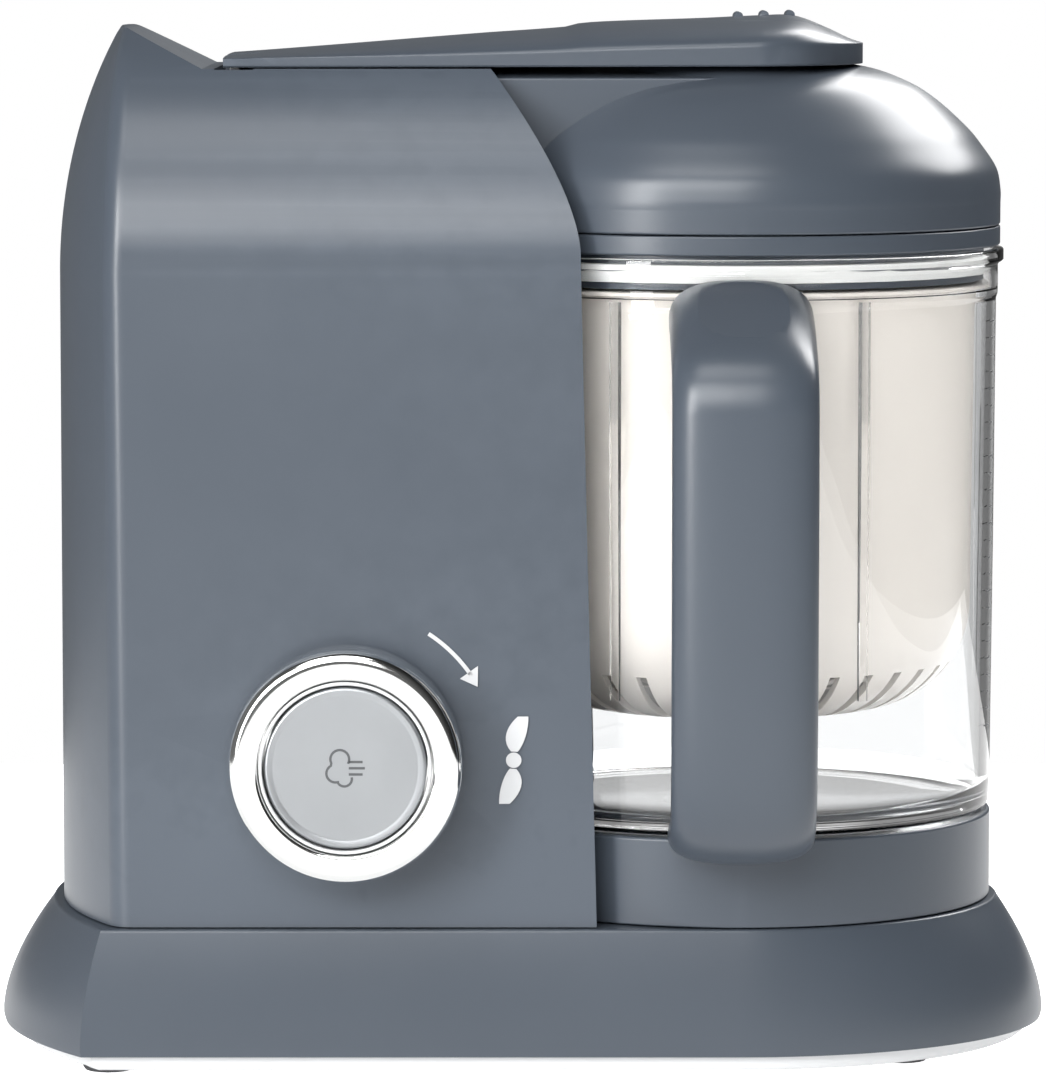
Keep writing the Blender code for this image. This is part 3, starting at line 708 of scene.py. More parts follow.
def base_housing():
    edge = 0.7
    heights = [BASE_LOW + (BASE_TOP - edge - BASE_LOW) * i / 22 for i in range(23)]
    made = settle("base_shell", skinned(base_rings(heights, rounding=edge)))
    inside = [[(x, y, z) for x, y in base_outline(max(z, BASE_WIDEST), WALL)]
              for z in (BASE_LOW - 4, BASE_WIDEST, 12, 18, 24, BASE_TOP - WALL)]
    carve(made, "DIFFERENCE", skinned(inside), rod(12.0, "Z", 20, 40),
          box((-135, -30, 20), (-89, 30, 40)))
    fit(smooth(made, 30), "base", "body_plastic", shell_plastic(), "base_housing")


FOOT_PLACES = ((-143, -54), (38, -42), (-143, 54), (38, 42))
SCREW_PLACES = ((-120, -50), (24, -46), (24, 46), (-120, 50))


def bottom_cover():
    heights = (0.8, 1.2, 2.0, 3.0, 4.0)
    insets = (2.7, 2.2, 2.0, 2.0, 2.0)
    rings = [[(x, y, z) for x, y in base_outline(z, inset)] for z, inset in zip(heights, insets)]
    made = settle("bottom_strip", skinned(rings))
    pockets = [rod(6.3, "Z", 0, 2.9, place) for place in FOOT_PLACES]
    sinks = [rod(3.7, "Z", 0, 2.7, place) for place in SCREW_PLACES]
    carve(made, "DIFFERENCE", joined(*pockets, *sinks))
    fit(smooth(made, 30), "base", "silver_plastic", base_silver(), "bottom_cover")


# ---------------------------------------------------------------- tower

def front_face(z):
    """How far the tower's flat front stands from its middle plane at a height."""
    return 59.8 - 2.7 * (z - BASE_TOP) / (187 - BASE_TOP)


def arch(inset=0.0, low=33.3):
    """The tower from the side: near-upright walls that roll over into a rounded top."""
    half = [(59.8 - inset, low)]
    half += bezier((57.1 - inset, 187), (55.5 - inset, 207 - inset), (40 - inset, 240 - inset),
                   (0, 240 - inset), 40)
    return half + [(-y, z) for y, z in reversed(half[:-1])]


def silhouette(inset=0.0):
    """The tower's top line from the front: a softly peaked fin and a flat deck."""
    drop = 1.4 * inset
    peak = bezier((-142.2, FIN_PEAK[1] - drop), (-140.6, FIN_PEAK[1] - drop), (-139.9, 235.9 - drop),
                  (-138.6, 235.2 - drop), 8)
    return [(-200, 0), (-200, FIN_PEAK[1] - drop)] + peak + [
        (FIN_FOOT, TOWER_TOP - inset), (0, TOWER_TOP - inset), (0, 0)]


def left_line(inset=0.0):
    """The tower's left side from the front as (height, x), leaning in to the fin's peak."""
    left = TOWER_LEFT + inset
    drop = 1.4 * inset
    side = bezier((left, 180), (left + 0.2, 203), (left + 6.9, 222.5 - drop),
                  (left + 14, 235.1 - drop), 30)
    return [(0, left)] + [(z, x) for x, z in side] + [(240 - drop, left + 18)]


def reading(table, x):
    """Straight-line reading of a table of (x, value)."""
    for (x0, v0), (x1, v1) in zip(table, table[1:]):
        if x <= x1:
            return v0 + (v1 - v0) * (x - x0) / (x1 - x0)
    return table[-1][1]


def tower_section(z, inset=0.0, corner=3.4):
    """A level outline of the tower, with its bowed left side rounded into the front and back."""
    left = reading(left_line(inset), z)
    half = reading([(height, y) for y, height in arch(inset, 0) if y >= 0], z)

    def bow(y):
        return left + SIDE_BOW - sqrt(SIDE_BOW ** 2 - y * y)

    edge = (bow(half), half)
    side = [(bow(half - corner), half - corner), edge, edge, (edge[0] + corner, half)]
    turned = bezier(side[0], tuple((a + 2 * b) / 3 for a, b in zip(side[0], edge)),
                    tuple((a + 2 * b) / 3 for a, b in zip(side[3], edge)), side[3], 8)
    across = [(half - corner) * (1 - i / 20) for i in range(1, 40)]
    bowed = [(bow(y), y) for y in across]
    outline = turned[::-1] + bowed + [(x, -y) for x, y in turned]
    return [(x, y, z) for x, y in outline] + [(0, -half, z), (0, half, z)]


def tower_block(inset, low, steps=4):
    """The tower's solid, in from its surface by an inset."""
    drop = 1.4 * inset
    count = 11 * steps
    levels = [low, 80, 130, 165, 180] + [180 + 57 * i / count for i in range(1, count + 1)]
    made = settle("tower_block", skinned([tower_section(z - (drop if z > 187 else 0), inset)
                                          for z in levels]))
    return carve(made, "INTERSECT", prism(silhouette(inset), "Y", -80, 80))


def half_shell(name, whole, side):
    """The shell on one side of the parting plane, closed where it is cut."""
    bm = bmesh.new()
    bm.from_mesh(whole.data)
    cut = bmesh.ops.bisect_plane(bm, geom=bm.verts[:] + bm.edges[:] + bm.faces[:], clear_inner=True,
                                 plane_co=(0, JUG_Y + side * PARTING * METRE, 0), plane_no=(0, side, 0))
    edges = [g for g in cut["geom_cut"] if isinstance(g, bmesh.types.BMEdge)]
    bmesh.ops.triangle_fill(bm, edges=edges, use_beauty=True)
    bmesh.ops.recalc_face_normals(bm, faces=bm.faces)
    return meshed(name, bm)


def tower_shells():
    """Front and rear halves, hollow, with the jug's recess and the ports cut through."""
    edge = bpy.context.scene.maker_shell.edge
    whole = tower_block(0.0, BASE_TOP + 0.3)
    carve(whole, "DIFFERENCE", rod(RECESS_RADIUS, "Z", 0, TOWER_TALL, segments=240))
    soften(whole, edge, 4, 24)
    hollow = tower_block(WALL, 0.0, 1)
    carve(hollow, "DIFFERENCE", rod(RECESS_RADIUS + WALL, "Z", -20, TOWER_TALL, segments=120))
    combine(whole, "DIFFERENCE", hollow)
    for name, side in (("front_shell", -1), ("rear_shell", 1)):
        made = half_shell(name + "_skin", whole, side)
        carve(made, "DIFFERENCE", box((-112.5, -DECK_HALF, 222), (-50, DECK_HALF, 240)),
              rod(4.5, "Y", -37.7, 37.7, (HINGE_X, HINGE_Z)),
              rod(STEAM_BORE, "X", -80, -60, (0, STEAM_Z)))
        if name == "front_shell":
            carve(made, "DIFFERENCE", rod(12.0, "Y", -70, -40, (KNOB_X, KNOB_Z)))
        else:
            carve(made, "DIFFERENCE", rod(5.8, "Y", 40, 70, (-112, 50)))
        fit(smooth(made, 34), "base", "body_plastic", shell_plastic(), name)
    bpy.data.objects.remove(whole)


def top_deck():
    half = DECK_HALF - 0.3
    made = settle("filler_deck", box((-110.3, -half, 222.3), (-50, half, 226.4)))
    for side in (-1, 1):
        y0, y1 = sorted((side * 15.5, side * 19.5))
        carve(made, "UNION", box((HINGE_X - 2.6, y0, 222.5), (-109, y1, HINGE_Z)),
              rod(2.6, "Y", y0, y1, (HINGE_X, HINGE_Z), 40))
    carve(made, "DIFFERENCE", rod(RECESS_RADIUS, "Z", 200, 240, segments=240),
          rod(18.5, "Z", 200, 240, (BOILER_X, 0)), box((-74.6, 7.2, 200), (-71.0, 16.8, 240)),
          rod(1.5, "Y", -50, 50, (HINGE_X, HINGE_Z), 32))
    soften(made, 0.0004, 2, 30)
    fit(smooth(made, 34), "base", "body_plastic", shell_plastic(), "top_deck")


# ---------------------------------------------------------------- jug, lid, basket and blade

RIB_ANGLES = (28.5, 90, 151.5, 208.5, 270, 331.5)    # degrees round from the front


def jug_wall():
    """The clear jug with its stepped rim, upright ribs and turned-in floor."""
    jug = bpy.context.scene.maker_jug
    profile = [(9.0, 53.7), (57.8, 53.7)] + arc(57.9, 56.1, 2.4, -90, -4, 8)
    profile += [(60.5, 60), (61.0, 118), (61.3, 172.0)]
    profile += bezier((61.3, 172.6), (61.3, 173.4), (61.7, 173.6), (61.7, 174.4), 4)
    profile += [(61.7, 180.2)] + bezier((61.7, 180.6), (61.8, 181.4), (62.6, 181.3), (63.0, 181.9), 4)
    profile += arc(62.5, 184.0, 0.5, 0, 90, 4) + arc(60.8, 184.0, 0.5, 90, 180, 4)
    profile += [(60.3, 176.0)] + arc(59.8, 175.7, 0.5, 0, -90, 4) + [(59.2, 175.2)]
    profile += [(58.6, 118), (57.9, 62.5)] + arc(52.9, 61.1, 5.0, 0, -90, 12) + [(9.0, 56.1)]
    made = settle("jug_wall", spun(profile, 192))
    ribs = [turned(box((57.4, -1.1, 84), (58.9, 1.1, 174.5)), radians(-90 + RIB_ANGLES[n % 6]))
            for n in range(jug.ribs)]
    if ribs:
        carve(made, "UNION", joined(*ribs))
    fit(smooth(made, 40, even=False), "jug", "clear_jug", clear_wall(), "jug_glass")


def scale_marks():
    """Plain measuring ticks printed up the jug's side, with no figures."""
    ticks = []
    low, high, count = 74.0, 168.0, 24
    for n in range(count + 1):
        z = low + (high - low) * n / count
        half = 2.6 if n % 4 == 0 else 1.3
        radius = 60.57 + 0.8 * (z - 60) / 113
        tick = box((radius, -half, z - 0.16), (radius + 0.06, half, z + 0.16))
        ticks.append(turned(tick, radians(-90 + 76)))
    fit(settle("scale_marks", joined(*ticks)), "jug", "dark_plastic", dark_print())


def jug_collar():
    """The grey ring that the jug stands on, with a soft top edge."""
    profile = [(57.6, 33.3)] + arc(60.2, 33.7, 0.4, -90, 0, 3)
    profile += arc(59.9, RING_TOP - 0.7, 0.7, 0, 90, 4) + [(20, RING_TOP), (20, 50.4), (57.6, 50.4)]
    fit(smooth(settle("jug_collar", spun(profile))), "jug", "body_plastic", shell_plastic(),
        "jug_base_ring")


def handle_line():
    """Middle line of the grip in the side plane as (y, z), from its top to its foot."""
    line = [(-56, 171.2), (-62, 170.6), (-68, 169.3), (-74, 167.3), (-80, 165.0), (-84.5, 163.0)]
    line += bezier((-86.2, 162.2), (-90.6, 160.1), (-92.6, 157.6), (-93.1, 152.0), 10)
    line += [(-93.4, 145), (-93.6, 135), (-93.5, 120), (-93.2, 105), (-92.8, 92), (-92.2, 82),
             (-91.4, 75)]
    line += bezier((-90.9, 71.5), (-89.8, 64.0), (-85.5, 59.2), (-78.5, 56.9), 10)
    return line + [(-74, 55.9), (-68, 55.0), (-62, 54.5), (-56, 54.2)]


def handle():
    """A D-shaped grip: full and convex on the outside, flatter towards the fingers."""
    outer = [(0.0, 9.6), (0.12, 8.6), (0.20, 7.4), (0.30, 6.5), (0.5, 6.6), (0.68, 6.8), (0.8, 6.3),
             (0.9, 6.0), (1.0, 5.8)]
    inner = [(0.0, 8.0), (0.12, 6.8), (0.25, 5.8), (0.5, 5.9), (0.75, 6.0), (1.0, 6.0)]
    line = [Vector(point) for point in handle_line()]
    runs = [0.0]
    for a, b in zip(line, line[1:]):
        runs.append(runs[-1] + (b - a).length)
    rings = []
    for i, centre in enumerate(line):
        t = runs[i] / runs[-1]
        ahead = line[min(i + 1, len(line) - 1)] - line[max(i - 1, 0)]
        away = Vector((ahead.y, -ahead.x)).normalized()
        ring = []
        for x, y in circle(1.0, 64):
            reach = reading(outer, t) if y > 0 else -reading(inner, t)
            across = HANDLE_HALF * abs(x) ** 0.78 * (1 if x > 0 else -1)
            spot = centre + away * reach * abs(y) ** (0.80 if y > 0 else 0.62)
            ring.append((across, spot.x, spot.y))
        rings.append(ring)
    made = settle("jug_grip", skinned(rings))
    room = [(0, 20), (61.0, 20), (61.0, 80), (61.6, 80), (61.6, 173.2), (62.0, 173.2), (62.0, 210),
            (0, 210)]
    rest = turned(box((-30, -60, 0), (30, 60, 20)), radians(22.5), "X")
    bmesh.ops.translate(rest, verts=rest.verts, vec=(0, -77, 174.2))
    carve(made, "DIFFERENCE", spun(room), rest)
    fit(smooth(made, 40), "jug", "body_plastic", shell_plastic(), "jug_handle")


def basket():
    """The steam basket: a deep cup with slots fanned round its foot."""
    slots = bpy.context.scene.maker_jug.slots
    low, radius, wall = BASKET_LOW, 25.0, 1.6
    profile = [(0, low)] + arc(30.7, low + radius, radius, -90, 0, 24) + [(56.4, 172.0)]
    profile += bezier((56.5, 174.0), (56.6, 175.5), (57.4, 175.5), (58.4, 175.5), 4)
    profile += arc(59.4, 176.25, 0.5, -90, 90, 6) + [(55.6, 177.0)]
    profile += [(54.9, 176.2), (54.1, 103)]
    profile += arc(30.7, low + radius, radius - wall, 0, -90, 24) + [(0, low + wall)]
    made = settle("steam_basket", spun(profile))
    fans = [turned(box((27, -1.25, low - 6), (51.5, 1.25, low + 12.5)), 2 * pi * (n + 0.5) / slots)
            for n in range(slots)]
    carve(made, "DIFFERENCE", joined(*fans))
    fit(smooth(made, 34, even=False), "basket", "basket_cream", basket_cream(), "basket")


DOME_SKIN = [(62.2, 198), (61.2, 203), (57.7, 208.3), (54.2, 212.5), (47.2, 218.8), (40.4, 223.0),
             (30.6, 226.4), (17, 227.8), (0, 228.0)]
DOME_LINING = [(59.8, 197), (58.9, 201.6), (55.7, 206.6), (52.4, 210.6), (45.8, 216.7), (39.4, 220.7),
               (30.0, 223.9), (17, 225.3), (0, 225.5)]


def through(points, steps):
    """A smooth line that passes through every point, with even parts between them."""
    line = []
    last = len(points) - 1
    for i in range(last):
        p = [Vector(points[max(0, min(last, k))]) for k in (i - 1, i, i + 1, i + 2)]
        for step in range(steps):
            f = step / steps
            bend = 2 * p[0] - 5 * p[1] + 4 * p[2] - p[3]
            twist = 3 * p[1] - p[0] - 3 * p[2] + p[3]
            line.append(tuple(0.5 * (2 * p[1] + (p[2] - p[0]) * f + bend * f * f + twist * f ** 3)))
    return line + [tuple(points[-1])]


def dome(curve, low, segments=192, edge=0.5):
    radius = curve[0][0]
    foot = arc(radius - edge, low + edge, edge, -90, 0, 3) if edge else [(radius, low)]
    return spun([(0, low)] + foot + through([(radius, curve[0][1] - 3)] + curve, 6)[1:], segments)


def lid():
    made = settle("lid_shell", dome(DOME_SKIN, 190.0))
    section = [(-37, 200), (37, 200)] + bezier((37, 224.5), (26, 225.9), (12, 226.4), (0, 226.4), 12)
    section += [(-y, z) for y, z in section[-2:1:-1]]
    neck = settle("neck", prism(section, "X", -80, -5))
    carve(neck, "INTERSECT", rod(RECESS_RADIUS - 0.6, "Z", 150, 250, segments=240))
    soften(neck, 0.0008, 3, 30)
    combine(made, "UNION", neck)
    carve(made, "DIFFERENCE", rod(6.3, "X", -80, -64.1, (0, STEAM_Z)),
          rod(STEAM_BORE, "X", -90, -40, (0, STEAM_Z)), dome(DOME_LINING, 150, 96, 0.0))
    fit(smooth(made, 34), "lid", "body_plastic", shell_plastic(), "lid_dome")
    profile = [(58.4, 177.5), (58.4, 185.2)] + arc(61.6, 185.8, 0.6, -90, 0, 4)
    profile += arc(61.8, LID_SEAM - 0.7, 0.4, 0, 90, 3) + [(57, LID_SEAM - 0.3), (57, 177.5)]
    fit(smooth(settle("lid_collar", spun(profile, 192))), "lid", "body_plastic", shell_plastic(),
        "lid_ring")


def blade():
    """Two swept wings, ground to an edge."""
    wing = bezier((0, -7), (14, -9), (30, -5), (36, 3), 20)
    wing += bezier((36, 3), (26, 5), (14, 6), (0, 7), 16)[1:-1]
    outline = wing + [(-x, -y) for x, y in wing]
    bm = prism(outline, "Z", 68.5, 70.1)
    top = [f for f in bm.faces if f.normal.z > 0.9]
    bmesh.ops.inset_region(bm, faces=top, thickness=1.6, depth=0.0)
    for vert in bm.verts:
        rim = any(abs(face.normal.z) < 0.3 for face in vert.link_faces)
        if rim and vert.co.z > 69:
            vert.co.z -= 1.1
    made = settle("cutting_blade", bm)
    carve(made, "DIFFERENCE", rod(3.3, "Z", 60, 80))
    fit(smooth(made, 25), "blade", "steel", steel(), "blade")


# ---------------------------------------------------------------- arm

ARM_BANDS = [(-117, 1.9), (-60, 2.7), (-20, 3.7), (30, 4.7)]
ARM_RIDGE = [(-117, 229.4), (-90, 231.6), (-59, 234.1), (-38.5, 235.6), (-37.0, 236.2), (-30, 236.8),
             (-7, 237.6), (6, 238.2), (14, 238.2), (21, 235.7), (27, 232.9), (30, 231.9)]


def arm_rim(x):
    """Height of the arm's lower edge."""
    return 226.9 + 0.3 * (x - ARM_REAR) / 147


def arm_section(x, points=48):
    """One cross-section: a flat underside, upright bands and a crown with soft shoulders."""
    beyond = max(0.0, x - ARM_TIP_START) / ARM_TIP_LENGTH
    half = ARM_HALF * sqrt(max(0.0, 1 - beyond * beyond))
    rim = arm_rim(x)
    band = rim + smooth_between(ARM_BANDS, x)
    rise = smooth_between(ARM_RIDGE, x) - band
    ring = [(x, half - 0.4, rim), (x, half, rim + 0.4)]
    for i in range(points + 1):
        angle = pi * i / points
        ring.append((x, half * cos(angle), band + rise * sin(angle) ** 0.9))
    return ring + [(x, -half, rim + 0.4), (x, -half + 0.4, rim)]


def arm_solid():
    stations = [-117 + 3 * i for i in range(40)]
    stations += [ARM_TIP_START + ARM_TIP_LENGTH * sin(pi / 2 * i / 24) for i in range(1, 23)]
    return skinned([arm_section(x) for x in stations + [29.95]])


def button_outline(inset):
    return [(BUTTON_X + (BUTTON_HALF[0] - inset) * x, (BUTTON_HALF[1] - inset) * y)
            for x, y in circle(1.0, 96)]


def liner_hollow():
    """The shallow hollow under the rear of the arm, which follows its lower edge."""
    outline = [(-105, -32), (-35, -32), (-35, 32), (-105, 32)]
    return skinned([[(x, y, arm_rim(x) + rise) for x, y in outline] for rise in (-5, 1.3)])


def arm():
    made = settle("arm_skin", arm_solid())
    notches = []
    for side in (-1, 1):
        y0, y1 = sorted((side * 15.2, side * 19.8))
        notches.append(box((-119, y0, 220), (-109.5, y1, 240)))
    carve(made, "DIFFERENCE", prism(button_outline(0), "Z", 230.9, 250))
    soften(made, 0.0003, 2, 40)
    room = [(-35.5, -32), (8, -32), (20, -25), (26, -13), (26, 13), (20, 25), (8, 32), (-35.5, 32)]
    carve(made, "DIFFERENCE", liner_hollow(), prism(room, "Z", 220, 229.4),
          rod(1.5, "Y", -33.3, 33.3, (HINGE_X, HINGE_Z)), joined(*notches))
    fit(smooth(made, 30), "arm", "body_plastic", shell_plastic(), "arm_cover")


def release_button():
    """The thumb button let into the arm's tip, with three grip bars."""
    made = settle("thumb_button", arm_solid())
    carve(made, "INTERSECT", prism(button_outline(0.3), "Z", 232.7, 260))
    soften(made, 0.0003, 2, 40)
    bars = [rod(1.1, "Y", -4.6, 4.6, (x, smooth_between(ARM_RIDGE, x)), 24) for x in (1, 7, 13)]
    carve(made, "UNION", joined(*bars))
    soften(made, 0.0002, 2, 40)
    fit(smooth(made, 30), "release", "body_plastic", shell_plastic(), "release_button")


# ---------------------------------------------------------------- controls and signs

def about_knob(name, profile):
    """A profile of (radius, y) spun round the knob's axis."""
    return smooth(settle(name, spun(profile, FINE, "Y", (KNOB_X, 0, KNOB_Z))))


def knob():
    front = KNOB_FRONT
    profile = [(3.6, -54.5), (9.1, -54.5), (9.1, -60.6), (25.3, -60.6)]
    profile += arc(25.3, -61.5, 0.9, 90, 0, 4)
    profile += [(KNOB_RADIUS, -72.5)]
    profile += bezier((KNOB_RADIUS, -73.4), (KNOB_RADIUS, front + 0.9), (25.2, front),
                      (23.4, front), 10)
    profile += [(20.9, front)] + arc(20.5, front + 0.8, 0.8, -90, -180, 5)
    profile += [(19.7, -64), (3.6, -64)]
    fit(about_knob("knob_plated", profile), "knob", "chrome", chrome(), "knob_ring")
    guide = [(18.6, -66), (18.6, -75.7)] + arc(19.0, -75.7, 0.4, 180, 360, 6) + [(19.4, -66)]
    fit(about_knob("light_guide", guide), "knob", "light_ring", light_guide(), "light_ring")
    disc = [(0, -75.35), (15.6, -75.55), (16.1, -75.45), (16.5, -75.55)]
    disc += arc(17.4, -74.9, 0.8, -90, 0, 5) + [(18.2, -70.5), (3, -70.5), (3, -53), (0, -53)]
    fit(about_knob("steam_disc", disc), "steam_button", "brushed_silver", satin_disc(),
        "steam_button")


def stroke(points, width, depth):
    """A flat stroke along points of (x, z), lifted to a depth function's face."""
    half = width / 2
    left, right = [], []
    for i, (x, z) in enumerate(points):
        before = points[max(0, i - 1)]
        after = points[min(len(points) - 1, i + 1)]
        run = Vector((after[0] - before[0], after[1] - before[1])).normalized()
        left.append((x - run.y * half, z + run.x * half))
        right.append((x + run.y * half, z - run.x * half))
    return flat_sign(left + right[::-1], depth)


def flat_sign(outline, depth, thick=0.10):
    """A thin raised print whose back follows the face that it lies on."""
    bm = prism(outline, "Y", 0.0, 1.0)
    for vert in bm.verts:
        face = depth(vert.co.z)
        vert.co.y = face - thick if vert.co.y < 0.5 else face - 0.02
    return bm


def shell_face(z):
    return -front_face(z)


def disc_face(_):
    return -75.40


def turn_arrow():
    """The curved arrow from the knob's rest towards blending."""
    radius = 33.8
    body = [(KNOB_X + x, KNOB_Z + z) for x, z in arc(0, 0, radius, 57, 34, 20)]
    head = []
    for angle, reach in ((35.5, 2.5), (35.5, -2.5), (29.0, -0.1)):
        head.append((KNOB_X + (radius + reach) * cos(radians(angle)),
                     KNOB_Z + (radius + reach) * sin(radians(angle))))
    fit(settle("turn_arrow", joined(stroke(body, 0.9, shell_face), flat_sign(head, shell_face))),
        "base", "brushed_silver", light_print())


def blade_sign():
    """Two curved wings and a hub: the sign for blending."""
    x, z = -51.0, 71.4
    wing = bezier((-0.6, 2.0), (-2.9, 4.6), (-1.6, 7.6), (0.9, 9.9), 10)
    wing += bezier((3.3, 9.9), (3.4, 6.6), (2.2, 3.4), (0.9, 1.9), 10)
    upper = [(x + a, z + b) for a, b in wing]
    lower = [(x - a, z - b) for a, b in wing]
    hub = [(x + a, z + b) for a, b in circle(1.75, 40)]
    fit(settle("blend_sign", joined(flat_sign(upper, shell_face), flat_sign(lower, shell_face),
                                    flat_sign(hub, shell_face))),
        "base", "brushed_silver", light_print())


def steam_sign():
    """A small cloud with three puffs and three lines of steam."""
    x, z = KNOB_X, KNOB_Z
    puffs = arc(x - 1.2, z + 2.0, 2.1, -28, 205, 16) + arc(x - 2.2, z - 1.2, 2.0, 120, 290, 14)
    puffs += arc(x - 0.2, z - 2.4, 1.7, 215, 372, 12)
    parts = [stroke(puffs, 0.55, disc_face)]
    for rise, reach in ((1.4, 3.9), (0.0, 4.4), (-1.4, 3.9)):
        parts.append(stroke([(x + 0.8, z + rise), (x + reach, z + rise)], 0.55, disc_face))
    fit(settle("steam_sign", joined(*parts)), "steam_button", "dark_plastic", dark_print())


# ---------------------------------------------------------------- the works

WORKS = (
    ("base", "rubber", rubber, "foot_front_left foot_front_right foot_rear_left foot_rear_right"
                               " drive_belt cord_gland"),
    ("base", "steel", steel, "boiler_cup thermostat motor_housing spindle_bearing_lower"
                             " spindle_bearing_upper cover_screw_1 cover_screw_2 cover_screw_3"
                             " cover_screw_4"),
    ("base", "copper", copper, "boiler_heater"),
    ("base", "dark_plastic", dark_plastic, "steam_nozzle motor_bracket rotary_switch arm_switch"),
    ("base", "board_green", board_green, "control_board"),
    ("base", "silicone", silicone, "drive_seal"),
    ("motor_rotor", "steel", steel, "motor_shaft"),
    ("motor_rotor", "copper", copper, "motor_armature"),
    ("motor_rotor", "dark_plastic", dark_plastic, "cooling_fan motor_pulley"),
    ("drive_spindle", "steel", steel, "spindle_shaft"),
    ("drive_spindle", "dark_plastic", dark_plastic, "driven_pulley drive_dog"),
    ("knob", "steel", steel, "button_spring"),
    ("arm", "dark_plastic", dark_plastic, "arm_liner arm_tongue boiler_cap"),
    ("arm", "silicone", silicone, "boiler_cap_seal"),
    ("arm", "steel", steel, "hinge_pin"),
    ("lid", "silicone", silicone, "lid_seal steam_inlet_seal"),
    ("jug", "steel", steel, "blade_bush"),
    ("jug", "dark_plastic", dark_plastic, "bush_nut"),
    ("blade", "steel", steel, "blade_shaft blade_hub blade_nut"),
    ("blade", "dark_plastic", dark_plastic, "drive_socket"),
)


def refined(node, body, slot, material):
    """A finished copy of a plain frame piece: merged, with its edges broken."""
    bm = bmesh.new()
    bm.from_mesh(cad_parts[node].data)
    bmesh.ops.remove_doubles(bm, verts=bm.verts, dist=1e-6)
    bmesh.ops.dissolve_limit(bm, angle_limit=radians(1.0), verts=bm.verts, edges=bm.edges)
    made = meshed(node + "_made", bm)
    if node != "button_spring":
        soften(made, 0.00025, 2, 40)
    return fit(smooth(made, 32), body, slot, material, node)


# ---------------------------------------------------------------- stage

LIGHTS = (      # name, place and aim in metres, size, and the setting that holds its power
    ("top_key", (-0.40, -1.20, 0.86), (-0.04, 0.0, 0.13), (1.3, 0.34), "key_power"),
    ("low_key", (-0.35, -1.35, 0.60), (-0.04, 0.0, 0.13), (1.0, 0.3), "low_power"),
    ("overhead", (-0.20, -0.70, 1.25), (0.0, 0.0, 0.15), (0.9, 0.5), "top_power"),
    ("left_key", (-0.86, -1.02, 0.42), (0.0, 0.0, 0.15), (0.26, 0.7), "fill_power"),
    ("rear_rim", (0.72, 0.75, 0.92), (0.06, 0.0, 0.2), (1.1, 0.6), "rim_power"),
)


def area_light(name, place, aim, size, power):
    data = bpy.data.lights.new(name, "AREA")
    data.shape = "RECTANGLE"
    data.size, data.size_y = size
    data.energy = power
    made = linked(name, data)
    made.location = place
    made.rotation_euler = (Vector(aim) - Vector(place)).to_track_quat("-Z", "Y").to_euler()


def floor():
    """White paper that glows a little, as an over-lit sweep does."""
    bm = bmesh.new()
    bmesh.ops.create_grid(bm, x_segments=1, y_segments=1, size=0.9)
    bmesh.ops.translate(bm, verts=bm.verts, vec=(0.0, -0.4, 0.0))
    made = meshed("floor", bm)
    material, shader, tree = finish("floor_paper", Roughness=0.9, Base_Color=(0.60, 0.60, 0.60, 1.0),
                                    Emission_Color=(1.0, 1.0, 1.0, 1.0))
    path = tree.nodes.new("ShaderNodeLightPath")
    seen = math_node(tree, "MAXIMUM", path.outputs["Is Camera Ray"],
                     path.outputs["Is Transmission Ray"])
    glow = math_node(tree, "MULTIPLY_ADD", seen, 0.5, 0.55)
    tree.links.new(glow, shader.inputs["Emission Strength"])
    made.data.materials.append(material)


def ramp_between(tree, value, low, high):
    """0 below low, 1 above high and a smooth rise between; low may be the larger."""
    made = tree.nodes.new("ShaderNodeMapRange")
    made.interpolation_type = "SMOOTHSTEP"
    made.inputs["From Min"].default_value = low
    made.inputs["From Max"].default_value = high
    tree.links.new(value, made.inputs["Value"])
    return made.outputs["Result"]


def surroundings(strength):
    """White to look at. As a light it is dim at the right and overhead; clear pieces see it bright
    behind the object and darker at the sides."""
    world = bpy.data.worlds.new("studio")
    world.use_nodes = True
    tree = world.node_tree
    tree.nodes.clear()
    split = tree.nodes.new("ShaderNodeSeparateXYZ")
    tree.links.new(tree.nodes.new("ShaderNodeTexCoord").outputs["Generated"], split.inputs[0])
    path = tree.nodes.new("ShaderNodeLightPath")
    left = ramp_between(tree, split.outputs["X"], 0.8, -0.4)
    side = math_node(tree, "MULTIPLY_ADD", left, 0.85, 0.12)
    overhead = ramp_between(tree, split.outputs["Z"], 0.95, 0.35)
    lit = math_node(tree, "MULTIPLY", math_node(tree, "MULTIPLY_ADD", overhead, 0.6, 0.4),
                    math_node(tree, "MULTIPLY", side, strength))
    behind = ramp_between(tree, split.outputs["Y"], 0.93, 0.99)
    through = math_node(tree, "MULTIPLY_ADD", behind, 0.82, 0.24)
    bounced = math_node(tree, "MINIMUM", path.outputs["Diffuse Depth"], 1.0)
    inner = math_node(tree, "MAXIMUM", through, math_node(tree, "MULTIPLY", bounced, 1.5))
    clear = path.outputs["Is Transmission Ray"]
    value = math_node(tree, "MULTIPLY_ADD", math_node(tree, "SUBTRACT", inner, lit), clear, lit)
    seen = math_node(tree, "MAXIMUM", value, path.outputs["Is Camera Ray"])
    light = tree.nodes.new("ShaderNodeBackground")
    light.inputs["Color"].default_value = (1.0, 1.0, 1.0, 1.0)
    tree.links.new(seen, light.inputs["Strength"])
    out = tree.nodes.new("ShaderNodeOutputWorld")
    tree.links.new(light.outputs[0], out.inputs["Surface"])
    bpy.context.scene.world = world


CAMERA_AWAY = 1.51       # metres from the jug's axis
CAMERA_HEIGHT = 0.2595
CAMERA_TILT = 5.44       # degrees downhill


